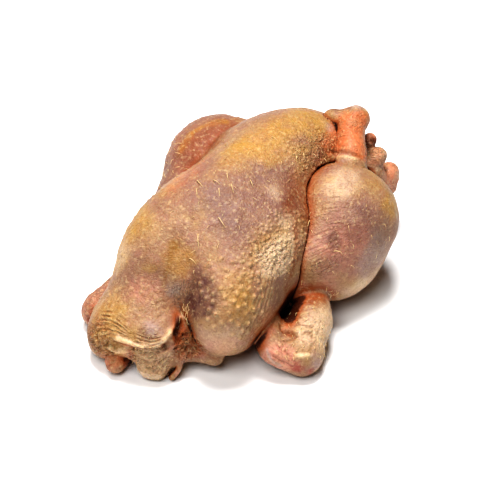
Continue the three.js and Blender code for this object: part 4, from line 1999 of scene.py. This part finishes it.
    def patchy(self, value: object, low: float, high: float, most: float) -> bpy.types.NodeSocket:
        """Smooth rise of a value between two levels.

        Args:
            value: the value's socket.
            low: level where the rise begins.
            high: level where it ends.
            most: what it rises to.

        Returns:
            The result's socket.
        """
        levels = {"From Min": low, "From Max": high, "To Max": most}
        settings = {"interpolation_type": "SMOOTHSTEP", **levels}
        return node(self.tree, "ShaderNodeMapRange", settings, {"Value": value}).outputs[0]

    def moisten(self) -> None:
        """Sets the light that goes in, which warms thin skin, and the wet gloss on top."""
        for name, value in (
            ("Subsurface Weight", self.SCATTER_SHARE),
            ("Subsurface Radius", self.SCATTER_REACH),
            ("Subsurface Scale", self.SCATTER_DEPTH * MM),
            ("IOR", self.IOR),
            ("Specular IOR Level", self.GLOSS),
            ("Coat Weight", self.FILM),
            ("Coat Roughness", self.FILM_ROUGHNESS),
        ):
            self.shader.inputs[name].default_value = value
        cloud = self.noise(6, 3, 5)
        rough = self.math("MULTIPLY_ADD", cloud, self.ROUGHNESS_SPREAD, self.ROUGHNESS)
        self.tree.links.new(rough, self.shader.inputs["Roughness"])

    def wrinkle(self) -> None:
        """Adds what is finer than the mesh: creping 2 mm wide and pores 0.8 mm wide."""
        cells = {"feature": "DISTANCE_TO_EDGE", "Scale": 1 / (self.CREPE_SIZE * MM)}
        creping = node(self.tree, "ShaderNodeTexVoronoi", cells, {"Vector": self.place})
        crepe = self.patchy(creping.outputs["Distance"], 0.0, self.CREPE_EDGE, 1.0)
        pores = self.math("MULTIPLY", self.noise(self.PORE_SIZE, 2, 6), self.PORE_SHARE)
        fine = self.math("MULTIPLY_ADD", crepe, self.CREPE_SHARE, pores)
        soft = self.bump(self.FINE_STRENGTH, self.FINE_DEPTH, {"Height": fine})
        folded = self.math("MULTIPLY", self.pleats, self.mask("pleated"))
        crumpled = self.math("MULTIPLY", self.creases, self.mask("crumple"))
        height = self.math("MAXIMUM", folded, crumpled)
        deep = self.bump(1.0, self.FOLD_DEPTH, {"Height": height, "Normal": soft})
        self.tree.links.new(deep, self.shader.inputs["Normal"])

    def bump(
        self, strength: float, depth: float, links: dict[str | int, bpy.types.NodeSocket]
    ) -> bpy.types.NodeSocket:
        """Relief that only the light sees.

        Args:
            strength: how fully it acts, from zero to one.
            depth: height of the relief, mm.
            links: sockets that feed it.

        Returns:
            The normal's socket.
        """
        settings = {"Strength": strength, "Distance": depth * MM}
        return node(self.tree, "ShaderNodeBump", settings, links).outputs["Normal"]


class HairShaft(Finish):
    """Hair or feather stub: keratin, smooth and half clear."""

    SHADES = {HairKind.PALE: ("#F0D9A8", "#DDB878"), HairKind.DARK: ("#4A3628", "#6B5340")}
    ROUGHNESS = 0.4
    IOR = 1.54

    def __init__(self, kind: HairKind) -> None:
        """Builds the nodes.

        Args:
            kind: which hairs get the finish.
        """
        super().__init__(kind.value.replace("_", " "))
        tip, root = self.SHADES[kind]
        colour = self.mixed(self.noise(6, 2, 8), tip, root)
        self.tree.links.new(colour, self.shader.inputs["Base Color"])
        self.shader.inputs["Roughness"].default_value = self.ROUGHNESS
        self.shader.inputs["IOR"].default_value = self.IOR


# --------------------------------------------------------------------------------------------
# Studio
# --------------------------------------------------------------------------------------------


@dataclass(frozen=True)
class Lamp:
    """Square soft light: where it stands in degrees, its side in mm and its power in watts."""

    name: str
    azimuth: float
    elevation: float
    side: float
    power: float


@dataclass(frozen=True)
class Studio:
    """Camera, pale floor and soft light."""

    azimuth: float = 32.0
    elevation: float = 40.0
    target: Point = (-3.6, 10.2, 23.4)
    distance: float = 1260.0
    sensor: float = 36.0
    pixels: float = 500.0
    pixels_per_mm: float = 1.444
    floor_side: float = 12000.0
    floor_colour: str = "#FAFAFA"
    floor_roughness: float = 0.8
    floor_gloss: float = 0.1
    lamps: tuple[Lamp, ...] = (
        Lamp("key", -140, 80, 560, 27.5),
        Lamp("fill", 5, 58, 900, 14),
    )
    lamp_distance: float = 1600.0
    surround: float = 0.02
    view_transform: str = "Standard"
    look: str = "High Contrast"

    def direction(self, azimuth: float, elevation: float) -> Vector:
        """Unit vector from the bird towards a place in the room."""
        a, e = math.radians(azimuth), math.radians(elevation)
        return Vector((math.sin(a) * math.cos(e), -math.cos(a) * math.cos(e), math.sin(e)))

    def camera(self) -> None:
        """Makes the camera and gives it to the scene."""
        data = bpy.data.cameras.new("camera")
        data.sensor_width = self.sensor
        data.lens = self.sensor / self.pixels * self.pixels_per_mm * self.distance
        data.clip_end = 100.0
        camera = bpy.data.objects.new("camera", data)
        back = self.direction(self.azimuth, self.elevation)
        camera.location = (Vector(self.target) + back * self.distance) * MM
        camera.rotation_euler = (-back).to_track_quat("-Z", "Y").to_euler()
        bpy.context.scene.collection.objects.link(camera)
        bpy.context.scene.camera = camera

    def floor(self) -> None:
        """Makes the pale surface the bird lies on."""
        half = self.floor_side / 2 * MM
        mesh = bpy.data.meshes.new("floor")
        mesh.from_pydata(
            [(-half, -half, 0), (half, -half, 0), (half, half, 0), (-half, half, 0)],
            [],
            [(0, 1, 2, 3)],
        )
        material = bpy.data.materials.new("matt white board")
        material.use_nodes = True
        shader = material.node_tree.nodes["Principled BSDF"]
        shader.inputs["Base Color"].default_value = linear(self.floor_colour)
        shader.inputs["Roughness"].default_value = self.floor_roughness
        shader.inputs["Specular IOR Level"].default_value = self.floor_gloss
        mesh.materials.append(material)
        floor = bpy.data.objects.new("floor", mesh)
        bpy.context.scene.collection.objects.link(floor)

    def hang(self, lamp: Lamp) -> None:
        """Makes one lamp, turned towards the bird.

        Args:
            lamp: its place, size and power.
        """
        data = bpy.data.lights.new(lamp.name, "AREA")
        data.size = lamp.side * MM
        data.energy = lamp.power
        made = bpy.data.objects.new(lamp.name, data)
        away = self.direction(lamp.azimuth, lamp.elevation)
        made.location = away * (self.lamp_distance * MM)
        made.rotation_euler = (-away).to_track_quat("-Z", "Y").to_euler()
        bpy.context.scene.collection.objects.link(made)

    def light(self) -> None:
        """Makes the lamps and the dim surround, and sets how light becomes colour."""
        for lamp in self.lamps:
            self.hang(lamp)
        world = bpy.data.worlds.new("surround")
        world.use_nodes = True
        background = world.node_tree.nodes["Background"].inputs
        background["Color"].default_value = (1, 1, 1, 1)
        background["Strength"].default_value = self.surround
        bpy.context.scene.world = world
        bpy.context.scene.view_settings.view_transform = self.view_transform
        bpy.context.scene.view_settings.look = self.look


# --------------------------------------------------------------------------------------------
# Putting it together
# --------------------------------------------------------------------------------------------


def replace_by_evaluated(piece: bpy.types.Object) -> None:
    """Applies a piece's modifiers for good.

    Args:
        piece: the mesh object whose modifiers go.
    """
    evaluated = piece.evaluated_get(bpy.context.evaluated_depsgraph_get())
    mesh = bpy.data.meshes.new_from_object(evaluated)
    piece.modifiers.clear()
    piece.data = mesh


def new_mesh_object(name: str, points: Array, faces: Array | list) -> bpy.types.Object:
    """Makes a smooth mesh object from points in mm.

    Args:
        name: name of the object and its mesh.
        points: one row for each point, mm.
        faces: one row of point numbers for each face.

    Returns:
        The object, linked to the scene.
    """
    mesh = bpy.data.meshes.new(name)
    mesh.from_pydata((points * MM).tolist(), [], [list(face) for face in faces])
    mesh.polygons.foreach_set("use_smooth", np.ones(len(faces), bool))
    made = bpy.data.objects.new(name, mesh)
    bpy.context.scene.collection.objects.link(made)
    return made


def main() -> None:
    """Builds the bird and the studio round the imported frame."""
    logging.basicConfig(level=logging.INFO, format="%(name)s: %(message)s")
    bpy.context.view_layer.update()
    bird = Bird()
    net = SkinNet(bird, CELL, *SPACE)
    skin = Skin(bird, *net.build())
    LOG.info("bare skin: %d points, %d quads", len(skin.points), len(skin.quads))
    skin.dress(Slack())
    pieces = [skin.build("bird_skin", MOST_TRIANGLES)]
    pieces[0].data.materials.append(RawSkin().material)
    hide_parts("chicken")
    for kind in HairKind:
        hairs = skin.build_hairs(kind)
        hairs.data.materials.append(HairShaft(kind).material)
        pieces.append(hairs)
    for piece in pieces:
        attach(piece, "root")
        LOG.info("%s: %d faces", piece.name, len(piece.data.polygons))
    studio = Studio()
    studio.camera()
    studio.floor()
    studio.light()


if __name__ == "__main__":
    main()
